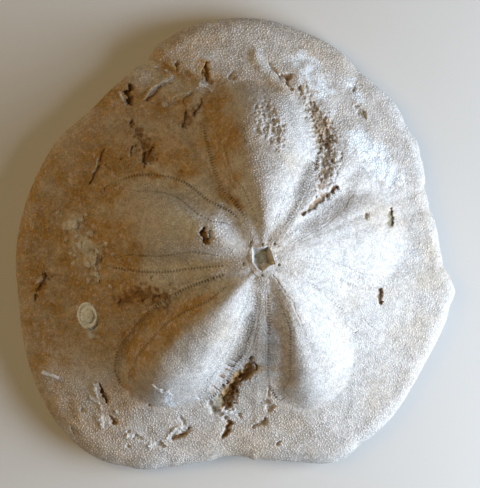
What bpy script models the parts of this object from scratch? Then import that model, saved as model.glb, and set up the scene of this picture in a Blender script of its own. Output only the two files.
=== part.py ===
"""A fossil sea urchin: a low domed test of stone, widest at its thin margin, with five swollen
petals around the apical disc and a flat underside with a shallow hollow at the mouth.

The object is modelled upside up, as it rests: +Z points away from the resting face, +Y to the front
petal, and the origin is at the bottom centre of its box. Every size below is in millimetres.
"""

import bmesh
import bpy
import numpy as np
from mathutils import Vector, noise

MM = 0.001

# Driving sizes.
DISC = (7.7, -3.6)  # where the apical disc stands, seen from the middle of the box
DISC_HEIGHT = 41.0
MARGIN_HEIGHT = 2.0  # what the dome falls towards at the margin
DOME_REACH = 0.5  # share of the way to the margin where the dome has lost half its height
DOME_FALL = 2.7
RIM_HEIGHT = 3.8  # level of the widest line
RIM_ROUND = 0.06  # share of the radius that the rounded edge takes
UNDER_LIFT = 1.4  # how far the underside leaves the table at the margin

# Distance of the margin from the disc every 10 degrees, anticlockwise from +X.
MARGIN = (
    52.2, 51.3, 51.0, 53.8, 56.4, 59.0, 60.3, 64.0, 66.4, 68.8, 69.7, 69.5,
    66.3, 65.2, 65.2, 67.9, 69.0, 70.2, 70.9, 71.2, 73.0, 74.9, 76.1, 75.2,
    70.8, 63.9, 58.3, 58.4, 60.1, 62.9, 61.0, 59.5, 57.3, 56.2, 56.4, 56.4,
)
# Chips and bumps of the margin: direction and half width in degrees, and how far it stands out.
CHIPS = (
    (16, 1.6, -0.5), (23, 1.2, -0.6), (36, 2.0, 0.6), (43, 2.2, -0.6), (63, 2.2, -0.5),
    (116, 1.8, 0.7), (121, 1.4, -1.2), (237, 2.0, -0.5), (245, 2.0, -0.5), (256, 1.8, 0.5),
    (268, 1.0, 0.5), (298, 1.5, -0.5), (345, 2.0, -0.5), (350, 1.4, 0.5), (357, 1.6, -0.8),
)

# Petals: both borders run from the disc to the tip. The height of the swelling is given near the
# disc and near the tip, with the share of it that is left at the tip.
PETALS = {
    "front": {
        "borders": (
            ((-1.7, 3.8), (-3.4, 7.6), (-6.7, 13.2), (-12.3, 20.3), (-15.4, 30.0),
             (-16.6, 38.4), (-14.6, 45.0), (-9.8, 50.2), (-3.6, 52.5)),
            ((2.1, 3.5), (5.4, 7.7), (10.0, 14.6), (13.5, 22.1), (16.5, 28.7),
             (16.9, 35.9), (14.1, 43.0), (8.4, 49.1), (-3.6, 52.5)),
        ),
        "swelling": (5.5, 9.0, 1.0),
    },
    "right_front": {
        "borders": (
            ((3.2, 2.4), (6.5, 5.7), (12.5, 11.6), (20.9, 18.2), (27.6, 21.1),
             (34.9, 20.3), (40.1, 16.6), (43.5, 8.7)),
            ((4.0, -0.6), (10.1, -2.0), (19.0, -5.4), (28.0, -9.2), (34.7, -8.7),
             (39.7, -4.4), (42.6, 1.8), (43.5, 8.7)),
        ),
        "swelling": (5.0, 6.0, 0.6),
    },
    "right_back": {
        "borders": (
            ((3.7, -2.5), (11.0, -5.3), (19.1, -10.7), (24.7, -17.1), (27.9, -25.7),
             (26.3, -35.2), (21.5, -42.3), (14.1, -45.7)),
            ((0.7, -5.8), (1.3, -14.7), (1.4, -24.8), (1.5, -33.5), (3.0, -39.1),
             (7.8, -43.7), (14.1, -45.7)),
        ),
        "swelling": (6.0, 8.5, 0.8),
    },
    "left_back": {
        "borders": (
            ((-1.2, -5.5), (-1.4, -13.6), (-3.3, -24.2), (-6.4, -30.6), (-11.8, -38.5),
             (-20.3, -42.8), (-29.2, -44.6), (-38.3, -40.9)),
            ((-3.4, -2.8), (-11.9, -4.7), (-22.0, -8.4), (-30.0, -13.3), (-36.4, -19.9),
             (-40.7, -25.7), (-41.9, -32.3), (-38.3, -40.9)),
        ),
        "swelling": (6.5, 11.5, 0.9),
    },
    "left_front": {
        "borders": (
            ((-3.9, -1.1), (-11.4, -2.5), (-19.4, -3.4), (-28.8, -4.6), (-38.9, -3.8),
             (-46.7, -1.3), (-51.6, 4.7), (-51.4, 9.8)),
            ((-2.8, 4.1), (-7.5, 12.1), (-14.8, 16.4), (-21.0, 21.2), (-28.2, 23.6),
             (-37.1, 23.4), (-45.1, 18.9), (-51.4, 9.8)),
        ),
        "swelling": (6.0, 4.0, 0.3),
    },
}
SWELL_START = 0.8  # how far inside the border a petal starts to swell
SWELL_WIDTH = 8.5  # and how far in it is full
PORE_ZONE = 5.2  # width of the band of pores along each border
PORE_ZONE_DEPTH = 0.4
BETWEEN_HEIGHT = 1.2  # how far the plates between two petals stand over the borders
BETWEEN_WIDTH = 6.0

# Hollows, from the disc: half width, depth, share of the half width that the wall takes, and the
# line that the hollow follows.
HOLLOWS = {
    "apical_star": (3.0, 2.2, 0.5, ((-0.1, 0.0),)),
    "double_pit": (1.8, 1.9, 0.7, ((-15.6, 7.2), (-17.4, 3.8))),
    "front_slit": (1.3, 1.7, 0.7, ((-17.5, 55.3), (-15.8, 53.5))),
    "front_dent": (1.6, 1.6, 0.8, ((-9.4, 53.6), (-7.6, 52.2))),
    "crescent": (1.3, 1.5, 0.8, ((-30.6, 45.3), (-29.7, 47.6), (-26.9, 49.0))),
    "deep_pit": (1.6, 3.0, 0.6, ((-37.7, 43.4), (-36.6, 46.8))),
    "rough_hollow": (3.0, 2.0, 0.8, ((-33.9, 33.6), (-32.2, 30.1), (-31.0, 27.8))),
    "left_front_crack": (1.0, 1.2, 0.8, ((-45.3, 30.2), (-46.5, 27.4), (-47.3, 24.5), (-49.0, 21.1))),
    "front_crack": (1.0, 1.0, 0.8, ((-1.6, 60.1), (0.7, 55.8), (3.5, 52.9), (7.8, 48.6))),
    "spongy_patch": (5.5, 1.4, 0.8, ((-1.2, 44.0), (1.0, 38.5), (3.3, 31.5))),
    "brown_hollow": (3.2, 2.4, 0.8, ((16.8, 42.1), (18.2, 37.2), (19.3, 32.1))),
    "eroded_belt": (3.2, 1.7, 0.9, ((16.7, 31.5), (18.1, 25.8), (20.3, 18.7))),
    "furrow": (1.4, 2.4, 0.8, ((10.8, 10.6), (16.5, 15.0), (23.2, 20.1))),
    "right_front_pit": (1.3, 1.3, 0.8, ((30.0, 12.2),)),
    "right_front_slit": (1.6, 2.2, 0.7, ((36.3, 12.9), (36.2, 10.3), (35.8, 8.0))),
    "right_pit": (1.6, 2.0, 0.8, ((33.7, -9.8), (34.3, -13.2))),
    "back_cavity_top": (2.6, 3.6, 0.6, ((-3.6, -29.1), (-5.6, -32.0))),
    "back_cavity_middle": (2.8, 3.6, 0.6, ((-7.0, -33.1), (-9.8, -38.4))),
    "back_cavity_low": (2.4, 3.0, 0.7, ((-9.8, -38.9), (-10.7, -41.8))),
    "grey_hollow": (2.4, 1.6, 0.8, ((-14.3, -41.2), (-12.6, -43.3))),
    "brown_groove": (1.9, 1.7, 0.8, ((-10.1, -45.9), (-9.8, -50.2))),
    "back_dent": (1.8, 1.7, 0.8, ((1.2, -41.2), (1.0, -43.6))),
    "back_dent_low": (1.7, 1.5, 0.8, ((-1.3, -46.8), (0.1, -47.9))),
    "back_dark_pit": (1.1, 1.3, 0.7, ((4.4, -53.4),)),
    "left_back_pits": (1.8, 1.5, 0.8, ((-22.3, -48.7), (-24.6, -50.2), (-26.9, -51.9))),
    "low_pit_a": (1.2, 1.1, 0.8, ((-29.7, -54.2),)),
    "low_pit_b": (1.2, 1.1, 0.8, ((-35.7, -51.4),)),
    "low_pit_c": (1.6, 1.5, 0.8, ((-42.8, -46.2), (-41.7, -47.7))),
    "left_slit": (1.3, 2.3, 0.6, ((-45.9, -36.8), (-45.0, -40.5))),
    "left_margin_slit": (1.1, 1.7, 0.7, ((-55.7, -47.8), (-54.0, -50.0))),
    "left_crack": (1.0, 1.1, 0.8, ((-59.9, -4.7), (-62.8, -5.9), (-65.6, -10.1))),
    "dark_patch": (3.0, 1.3, 0.9, ((-35.3, -7.4), (-32.8, -9.4), (-30.5, -12.2))),
}
# Lumps, in the same form, with a height for the depth.
LUMPS = {
    "spine_stub": (0.9, 0.8, 1.0, ((-63.1, -32.7), (-58.2, -34.6))),
    "encrusting_shell": (3.4, 1.4, 0.6, ((-49.7, -16.2), (-49.3, -17.0))),
    "shell_tail": (1.4, 0.7, 1.0, ((-48.9, -19.7), (-48.4, -23.1))),
    "nodule_a": (2.8, 0.9, 1.0, ((-53.3, 8.9), (-48.9, 9.8))),
    "nodule_b": (2.6, 0.9, 1.0, ((-44.5, 6.9), (-42.5, 1.8))),
    "nodule_c": (2.9, 1.0, 1.0, ((-51.2, 3.2), (-46.6, 2.4))),
    "nodule_d": (2.4, 0.8, 1.0, ((-52.9, -1.6), (-44.9, -1.6))),
    "ragged_edge": (1.5, 0.9, 1.0, ((-29.3, -37.2), (-27.7, -39.0), (-26.1, -40.3))),
    "crescent_lip": (0.9, 0.8, 1.0, ((-32.4, 45.0), (-31.4, 48.6), (-27.4, 51.0))),
    "front_ridge": (2.2, 0.9, 1.0, ((-3.6, 57.6), (-1.6, 53.0), (3.0, 49.4), (6.0, 46.0))),
}
# A crack that runs in from the notch of the margin: the plate in front of it stands higher.
LEDGE = ((-33.5, 57.6), (-32.1, 56.8), (-27.8, 55.4), (-22.0, 51.6), (-19.2, 47.8))
LEDGE_HEIGHT = 1.4
LEDGE_FADE = 11.0

# Underside.
MOUTH_REACH = 0.25  # share of the radius that the hollow at the mouth takes
MOUTH_HOLLOW = 5.5
MOUTH_RADIUS = 4.6
MOUTH_DEPTH = 2.4
GROOVE_DIRECTIONS = (15, 95, 172, 227, 290)
GROOVE_START, GROOVE_END = 8.0, 44.0
GROOVE_WIDTH, GROOVE_DEPTH = 1.8, 0.7
VENT = (-7.0, -50.0)  # the small filled opening near the back margin
VENT_RADIUS, VENT_DEPTH = 2.8, 1.0

# Mesh.
SPHERE_STEPS = 6
FINER_ROUNDS = 2  # how often the faces near the hollows and lumps are halved first
FINER_REACH = 0.8  # and how far beyond them
RIM_LATITUDE = -0.3  # height on the unit sphere of the points that become the margin
FACES = 9600
FLAT = 0.03  # points this near the table lie on it
LUMPINESS = ((14.0, 0.30), (4.5, 0.16))  # size and height of the surface's uneven swells
WANDER = (3.0, 0.7)  # size of the wobbles that keep the hollows' outlines uneven, and how far they go
ROUGH_HEIGHT = 0.7  # extra unevenness inside the broken and spongy places
ROUGH_SIZE = 2.2
ROUGH = ("spongy_patch", "eroded_belt", "brown_hollow", "rough_hollow", "dark_patch",
         "back_cavity_middle", "back_cavity_top", "back_cavity_low")
COLOUR = (0.42, 0.36, 0.28, 1.0)


def clear_scene():
    for obj in list(bpy.data.objects):
        bpy.data.objects.remove(obj, do_unlink=True)


def smooth(value, low=0.0, high=1.0):
    """0 below low, 1 above high, with an even rise between."""
    share = np.clip((value - low) / (high - low), 0.0, 1.0)
    return share * share * (3.0 - 2.0 * share)


def between(a, b, c, d, t):
    """The Catmull-Rom curve from b to c."""
    return 0.5 * (2 * b + (c - a) * t + (2 * a - 5 * b + 4 * c - d) * t**2 + (3 * b - a - 3 * c + d) * t**3)


def margin_radius(angle):
    """Distance of the margin from the disc in the directions given, in radians."""
    radii = np.array(MARGIN)
    place = np.degrees(angle) % 360.0 / 10.0
    first = np.floor(place).astype(int)
    near = [radii[(first + step) % len(radii)] for step in (-1, 0, 1, 2)]
    radius = between(*near, place - first)
    for direction, half_width, out in CHIPS:
        off = (np.degrees(angle) - direction + 180.0) % 360.0 - 180.0
        radius = radius + out * np.exp(-((off / half_width) ** 2))
    return radius


def curve_through(points, steps=10):
    """A smooth open line through the points."""
    knots = np.array(points, float)
    knots = np.vstack([2 * knots[0] - knots[1], knots, 2 * knots[-1] - knots[-2]])
    t = np.linspace(0.0, 1.0, steps, endpoint=False)[:, None]
    parts = [between(*knots[i - 1 : i + 3], t) for i in range(1, len(knots) - 2)]
    return np.vstack([*parts, knots[-2:-1]])


def distance_to(spots, line):
    """Distance of each spot from the line, positive on its right side."""
    if len(line) == 1:
        return np.hypot(*(spots - line[0]).T)
    start, run = line[:-1], line[1:] - line[:-1]
    best = np.full(len(spots), np.inf)
    for origin, step in zip(start, run):
        off = spots - origin
        share = np.clip(off @ step / (step @ step), 0.0, 1.0)
        gap = off - share[:, None] * step
        distance = np.hypot(gap[:, 0], gap[:, 1])
        side = np.where(step[0] * off[:, 1] - step[1] * off[:, 0] > 0, -1.0, 1.0)
        best = np.where(distance < np.abs(best), distance * side, best)
    return best


def depth_inside(spots, loop):
    """How far each spot is from the loop: an even distance, with no crease down the middle."""
    middles = (loop[1:] + loop[:-1]) / 2
    lengths = np.hypot(*(loop[1:] - loop[:-1]).T)
    total = np.zeros(len(spots))
    for middle, length in zip(middles, lengths):
        square = ((spots - middle) ** 2).sum(axis=1) + 1.0
        total += length / square**2
    return np.maximum((total * 2 / np.pi) ** (-1 / 3) - 1.0, 0.0)


def is_inside(spots, loop):
    x, y = spots.T
    within = np.zeros(len(spots), bool)
    for (x0, y0), (x1, y1) in zip(loop, np.roll(loop, -1, axis=0)):
        if y0 != y1:
            within ^= ((y0 > y) != (y1 > y)) & (x < (x1 - x0) * (y - y0) / (y1 - y0) + x0)
    return within


def swell(share):
    share = np.clip(share, 0.0, 1.0)
    return 0.7 * smooth(share) + 0.3 * (1.0 - (1.0 - share) ** 2.5)


def petal_height(spots, petal):
    """Height that the petal adds, its even depth inside or outside its border, and which spots it holds."""
    left, right = (curve_through(border) for border in petal["borders"])
    loop = np.vstack([left, right[::-1][1:]])
    depth, within = depth_inside(spots, loop), is_inside(spots, loop)
    near, far, left_at_tip = petal["swelling"]
    tip = left[-1]
    along = spots @ tip / (tip @ tip)
    height = near + (far - near) * smooth(along, 0.25, 0.8)
    height = height * (1.0 - (1.0 - left_at_tip) * smooth(along, 0.7, 1.0))
    height = height * swell((depth - SWELL_START) / SWELL_WIDTH)
    height = height - PORE_ZONE_DEPTH * np.sin(np.pi * np.clip(depth / PORE_ZONE, 0.0, 1.0))
    return np.where(within, height, 0.0), depth, within


def stroke(spots, half_width, height, wall, points):
    """A dent or a lump of this height along the points."""
    distance = np.abs(distance_to(spots, np.array(points, float)))
    return height * smooth((1.0 - distance / half_width) / wall)


def ledge(spots):
    line = np.array(LEDGE)
    distance = -distance_to(spots, line)
    step = smooth(distance, -0.5, 0.5) * np.exp(-np.maximum(distance, 0.0) / LEDGE_FADE)
    reach = spots - line.mean(axis=0)
    return LEDGE_HEIGHT * step * (1.0 - smooth(np.hypot(*reach.T), 9.0, 15.0))


def unevenness(spots, size, seed):
    """An even noise from about -1 to 1, of lumps of this size."""
    return np.array([noise.noise(Vector((x / size, y / size, seed))) for x, y in spots])


def upper_height(spots, share):
    """Height of the upper side. share is 0 at the disc and 1 at the margin."""
    height = MARGIN_HEIGHT + (DISC_HEIGHT - MARGIN_HEIGHT) / (1.0 + (share / DOME_REACH) ** DOME_FALL)
    outside = np.full(len(spots), np.inf)
    for petal in PETALS.values():
        added, depth, within = petal_height(spots, petal)
        height = height + added
        outside = np.where(within, 0.0, np.minimum(outside, depth))
    height = height + BETWEEN_HEIGHT * swell(outside / BETWEEN_WIDTH) * (1.0 - smooth(share, 0.45, 0.8))
    for seed, (size, amount) in enumerate(LUMPINESS):
        height = height + amount * unevenness(spots, size, seed)
    rough = np.zeros(len(spots))
    size, amount = WANDER
    wander = [amount * unevenness(spots, size, seed) for seed in (7, 8)]
    spots = spots + np.stack(wander, axis=1)
    for name, hollow in HOLLOWS.items():
        dent = stroke(spots, *hollow)
        height = height - dent
        if name in ROUGH:
            rough = np.maximum(rough, dent / hollow[1])
    for lump in LUMPS.values():
        height = height + stroke(spots, *lump)
    height = height + ledge(spots)
    return height + ROUGH_HEIGHT * rough * unevenness(spots, ROUGH_SIZE, len(LUMPINESS))


def groove_lines():
    """The food grooves that run out from the mouth under each petal."""
    for direction in np.radians(GROOVE_DIRECTIONS):
        way = np.array((np.cos(direction), np.sin(direction)))
        yield np.array((GROOVE_START * way, GROOVE_END * way))


def under_height(spots, share):
    """Height of the underside: a flat ring to rest on, a hollow at the mouth and a lifted margin."""
    height = MOUTH_HOLLOW * (1.0 - smooth(share, 0.0, MOUTH_REACH))
    height = height + stroke(spots, MOUTH_RADIUS, MOUTH_DEPTH, 0.4, ((0.0, 0.0),))
    height = height + UNDER_LIFT * smooth(share, 0.86, 1.0)
    for line in groove_lines():
        height = np.maximum(height, stroke(spots, GROOVE_WIDTH, GROOVE_DEPTH, 1.0, line))
    return height + stroke(spots, VENT_RADIUS, VENT_DEPTH, 0.5, (VENT,))


def spread(unit):
    """Where points of the unit sphere lie on the test, seen from above: the spots, which of them are
    on the upper side, their share of the way to the margin, and how far round the edge they are."""
    angle = np.arctan2(unit[:, 1], unit[:, 0])
    above = unit[:, 2] >= RIM_LATITUDE
    side = np.where(above, 1.0, -1.0)
    share = np.sqrt(np.clip((1.0 - side * unit[:, 2]) / (1.0 - side * RIM_LATITUDE), 0.0, 1.0))
    turn = np.clip((share - 1.0) / RIM_ROUND + 1.0, 0.0, 1.0) * np.pi / 2
    share = np.where(turn > 0.0, 1.0 - RIM_ROUND + RIM_ROUND * np.sin(turn), share)
    reach = share * margin_radius(angle)
    spots = np.stack([reach * np.cos(angle), reach * np.sin(angle)], axis=1)
    return spots, above, share, turn


def test_points(unit):
    """Points of the unit sphere moved to the surface of the test, in millimetres from the disc."""
    spots, above, share, turn = spread(unit)
    height = np.where(above, upper_height(spots, share), under_height(spots, share))
    height = RIM_HEIGHT + (height - RIM_HEIGHT) * np.cos(turn)
    return np.column_stack([spots, height])


def detailed(spots, above):
    """Which spots are in or near a hollow, a lump or a groove."""
    near = np.zeros(len(spots), bool)
    for half_width, _, _, points in (*HOLLOWS.values(), *LUMPS.values()):
        near |= above & (np.abs(distance_to(spots, np.array(points))) < half_width + FINER_REACH)
    near |= above & (np.abs(distance_to(spots, np.array(LEDGE))) < 2 * FINER_REACH)
    for line in groove_lines():
        near |= ~above & (np.abs(distance_to(spots, line)) < GROOVE_WIDTH + FINER_REACH)
    near |= ~above & (np.hypot(*spots.T) < MOUTH_RADIUS + FINER_REACH)
    return near | (~above & (np.hypot(*(spots - VENT).T) < VENT_RADIUS + FINER_REACH))


def directions_of(bm):
    return np.array([vert.co.normalized()[:] for vert in bm.verts])


def make_test():
    bm = bmesh.new()
    bmesh.ops.create_icosphere(bm, subdivisions=SPHERE_STEPS, radius=1.0)
    for _ in range(FINER_ROUNDS):
        near = detailed(*spread(directions_of(bm))[:2])
        edges = [edge for edge in bm.edges if all(near[vert.index] for vert in edge.verts)]
        bmesh.ops.subdivide_edges(bm, edges=edges, cuts=1)
        bmesh.ops.triangulate(bm, faces=[face for face in bm.faces if len(face.verts) > 3])
        bm.verts.index_update()
    points = test_points(directions_of(bm))
    points[:, :2] += DISC
    for vert, point in zip(bm.verts, points):
        vert.co = point * MM
    mesh = bpy.data.meshes.new("sea_urchin_test")
    bm.to_mesh(mesh)
    bm.free()
    return bpy.data.objects.new("sea_urchin_test", mesh)


def thin_out(obj):
    """Fewer, larger faces where the surface is even, and a resting ring that stays exactly flat."""
    decimate = obj.modifiers.new("fewer_faces", "DECIMATE")
    decimate.ratio = FACES / len(obj.data.polygons)
    graph = bpy.context.evaluated_depsgraph_get()
    mesh = bpy.data.meshes.new_from_object(obj.evaluated_get(graph))
    obj.modifiers.clear()
    obj.data = mesh
    for vert in mesh.vertices:
        if vert.co.z < FLAT * MM:
            vert.co.z = 0.0


def centre(obj):
    """The origin at the bottom centre of the box."""
    points = np.array([vert.co[:] for vert in obj.data.vertices])
    middle = (points.min(axis=0) + points.max(axis=0)) / 2
    for vert in obj.data.vertices:
        vert.co.x -= middle[0]
        vert.co.y -= middle[1]


def stone():
    material = bpy.data.materials.new("fossil_limestone")
    material.use_nodes = True
    shader = material.node_tree.nodes["Principled BSDF"]
    shader.inputs["Base Color"].default_value = COLOUR
    shader.inputs["Roughness"].default_value = 0.85
    shader.inputs["Metallic"].default_value = 0.0
    return material


def main():
    clear_scene()
    collection = bpy.data.collections.new("fossil_sea_urchin")
    bpy.context.scene.collection.children.link(collection)
    test = make_test()
    collection.objects.link(test)
    thin_out(test)
    centre(test)
    test.data.materials.append(stone())
    test.data.shade_smooth()


main()
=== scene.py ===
"""The looks of a fossil sea urchin: the stone of the test with its damage and stains, the bands of
pores along the petals, the tubercles that cover the plates, the growths on it, and a plain stage.

Relief and places are worked out in millimetres from the apical disc, and become metres in the
meshes, in the frame of the solid model.
"""

import math

import bmesh
import bpy
import numpy as np
from mathutils import Matrix, Vector, noise


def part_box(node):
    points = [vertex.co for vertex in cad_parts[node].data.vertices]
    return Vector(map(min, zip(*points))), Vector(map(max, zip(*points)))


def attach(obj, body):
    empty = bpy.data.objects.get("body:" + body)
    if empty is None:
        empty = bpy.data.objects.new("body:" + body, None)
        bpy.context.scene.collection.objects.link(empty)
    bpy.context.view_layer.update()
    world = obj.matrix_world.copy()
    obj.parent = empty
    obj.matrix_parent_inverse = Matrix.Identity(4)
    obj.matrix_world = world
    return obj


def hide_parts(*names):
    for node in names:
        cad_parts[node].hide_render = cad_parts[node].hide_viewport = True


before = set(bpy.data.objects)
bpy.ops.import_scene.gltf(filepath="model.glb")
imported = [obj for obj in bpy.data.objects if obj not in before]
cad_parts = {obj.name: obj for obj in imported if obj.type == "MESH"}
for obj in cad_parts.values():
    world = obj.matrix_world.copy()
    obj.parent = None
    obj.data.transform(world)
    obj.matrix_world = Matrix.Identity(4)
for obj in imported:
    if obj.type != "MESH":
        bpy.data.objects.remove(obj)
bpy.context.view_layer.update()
NODE = "sea_urchin_test"
LOW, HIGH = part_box(NODE)

bl_info = {
    "name": "Fossil Sea Urchin",
    "version": (1, 0, 0),
    "blender": (4, 5, 0),
    "location": "3D View > Sidebar > Fossil Urchin",
    "description": "Surfaces a fossil sea urchin: stone, pores, tubercles, growths and stage",
    "category": "Add Mesh",
}

MM = 0.001

# ---- The form of the test, in millimetres -------------------------------------------------------

DISC = np.array((7.7, -3.6))
DISC_HEIGHT = 41.0
MARGIN_HEIGHT = 2.0
DOME_REACH = 0.5
DOME_FALL = 2.7
RIM_HEIGHT = 3.8
RIM_ROUND = 0.06
UNDER_LIFT = 1.4

MARGIN = (
    52.2, 51.3, 51.0, 53.8, 56.4, 59.0, 60.3, 64.0, 66.4, 68.8, 69.7, 69.5,
    66.3, 65.2, 65.2, 67.9, 69.0, 70.2, 70.9, 71.2, 73.0, 74.9, 76.1, 75.2,
    70.8, 63.9, 58.3, 58.4, 60.1, 62.9, 61.0, 59.5, 57.3, 56.2, 56.4, 56.4,
)
CHIPS = (
    (16, 1.6, -0.5), (23, 1.2, -0.6), (36, 2.0, 0.6), (43, 2.2, -0.6), (63, 2.2, -0.5),
    (116, 1.8, 0.7), (121, 1.4, -1.2), (237, 2.0, -0.5), (245, 2.0, -0.5), (256, 1.8, 0.5),
    (268, 1.0, 0.5), (298, 1.5, -0.5), (345, 2.0, -0.5), (350, 1.4, 0.5), (357, 1.6, -0.8),
)

PETALS = {
    "front": {
        "borders": (
            ((-1.7, 3.8), (-3.4, 7.6), (-6.7, 13.2), (-12.3, 20.3), (-15.4, 30.0),
             (-16.6, 38.4), (-14.6, 45.0), (-9.8, 50.2), (-3.6, 52.5)),
            ((2.1, 3.5), (5.4, 7.7), (10.0, 14.6), (13.5, 22.1), (16.5, 28.7),
             (16.9, 35.9), (14.1, 43.0), (8.4, 49.1), (-3.6, 52.5)),
        ),
        "swelling": (5.5, 9.0, 1.0),
    },
    "right_front": {
        "borders": (
            ((3.2, 2.4), (6.5, 5.7), (12.5, 11.6), (20.9, 18.2), (27.6, 21.1),
             (34.9, 20.3), (40.1, 16.6), (43.5, 8.7)),
            ((4.0, -0.6), (10.1, -2.0), (19.0, -5.4), (28.0, -9.2), (34.7, -8.7),
             (39.7, -4.4), (42.6, 1.8), (43.5, 8.7)),
        ),
        "swelling": (5.0, 6.0, 0.6),
    },
    "right_back": {
        "borders": (
            ((3.7, -2.5), (11.0, -5.3), (19.1, -10.7), (24.7, -17.1), (27.9, -25.7),
             (26.3, -35.2), (21.5, -42.3), (14.1, -45.7)),
            ((0.7, -5.8), (1.3, -14.7), (1.4, -24.8), (1.5, -33.5), (3.0, -39.1),
             (7.8, -43.7), (14.1, -45.7)),
        ),
        "swelling": (6.0, 8.5, 0.8),
    },
    "left_back": {
        "borders": (
            ((-1.2, -5.5), (-1.4, -13.6), (-3.3, -24.2), (-6.4, -30.6), (-11.8, -38.5),
             (-20.3, -42.8), (-29.2, -44.6), (-38.3, -40.9)),
            ((-3.4, -2.8), (-11.9, -4.7), (-22.0, -8.4), (-30.0, -13.3), (-36.4, -19.9),
             (-40.7, -25.7), (-41.9, -32.3), (-38.3, -40.9)),
        ),
        "swelling": (6.5, 11.5, 0.9),
    },
    "left_front": {
        "borders": (
            ((-3.9, -1.1), (-11.4, -2.5), (-19.4, -3.4), (-28.8, -4.6), (-38.9, -3.8),
             (-46.7, -1.3), (-51.6, 4.7), (-51.4, 9.8)),
            ((-2.8, 4.1), (-7.5, 12.1), (-14.8, 16.4), (-21.0, 21.2), (-28.2, 23.6),
             (-37.1, 23.4), (-45.1, 18.9), (-51.4, 9.8)),
        ),
        "swelling": (6.0, 4.0, 0.3),
    },
}
SWELL_START = 0.8
SWELL_WIDTH = 8.5
PORE_ZONE = 5.2
PORE_ZONE_DEPTH = 0.4
BETWEEN_HEIGHT = 1.2
BETWEEN_WIDTH = 6.0

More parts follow.
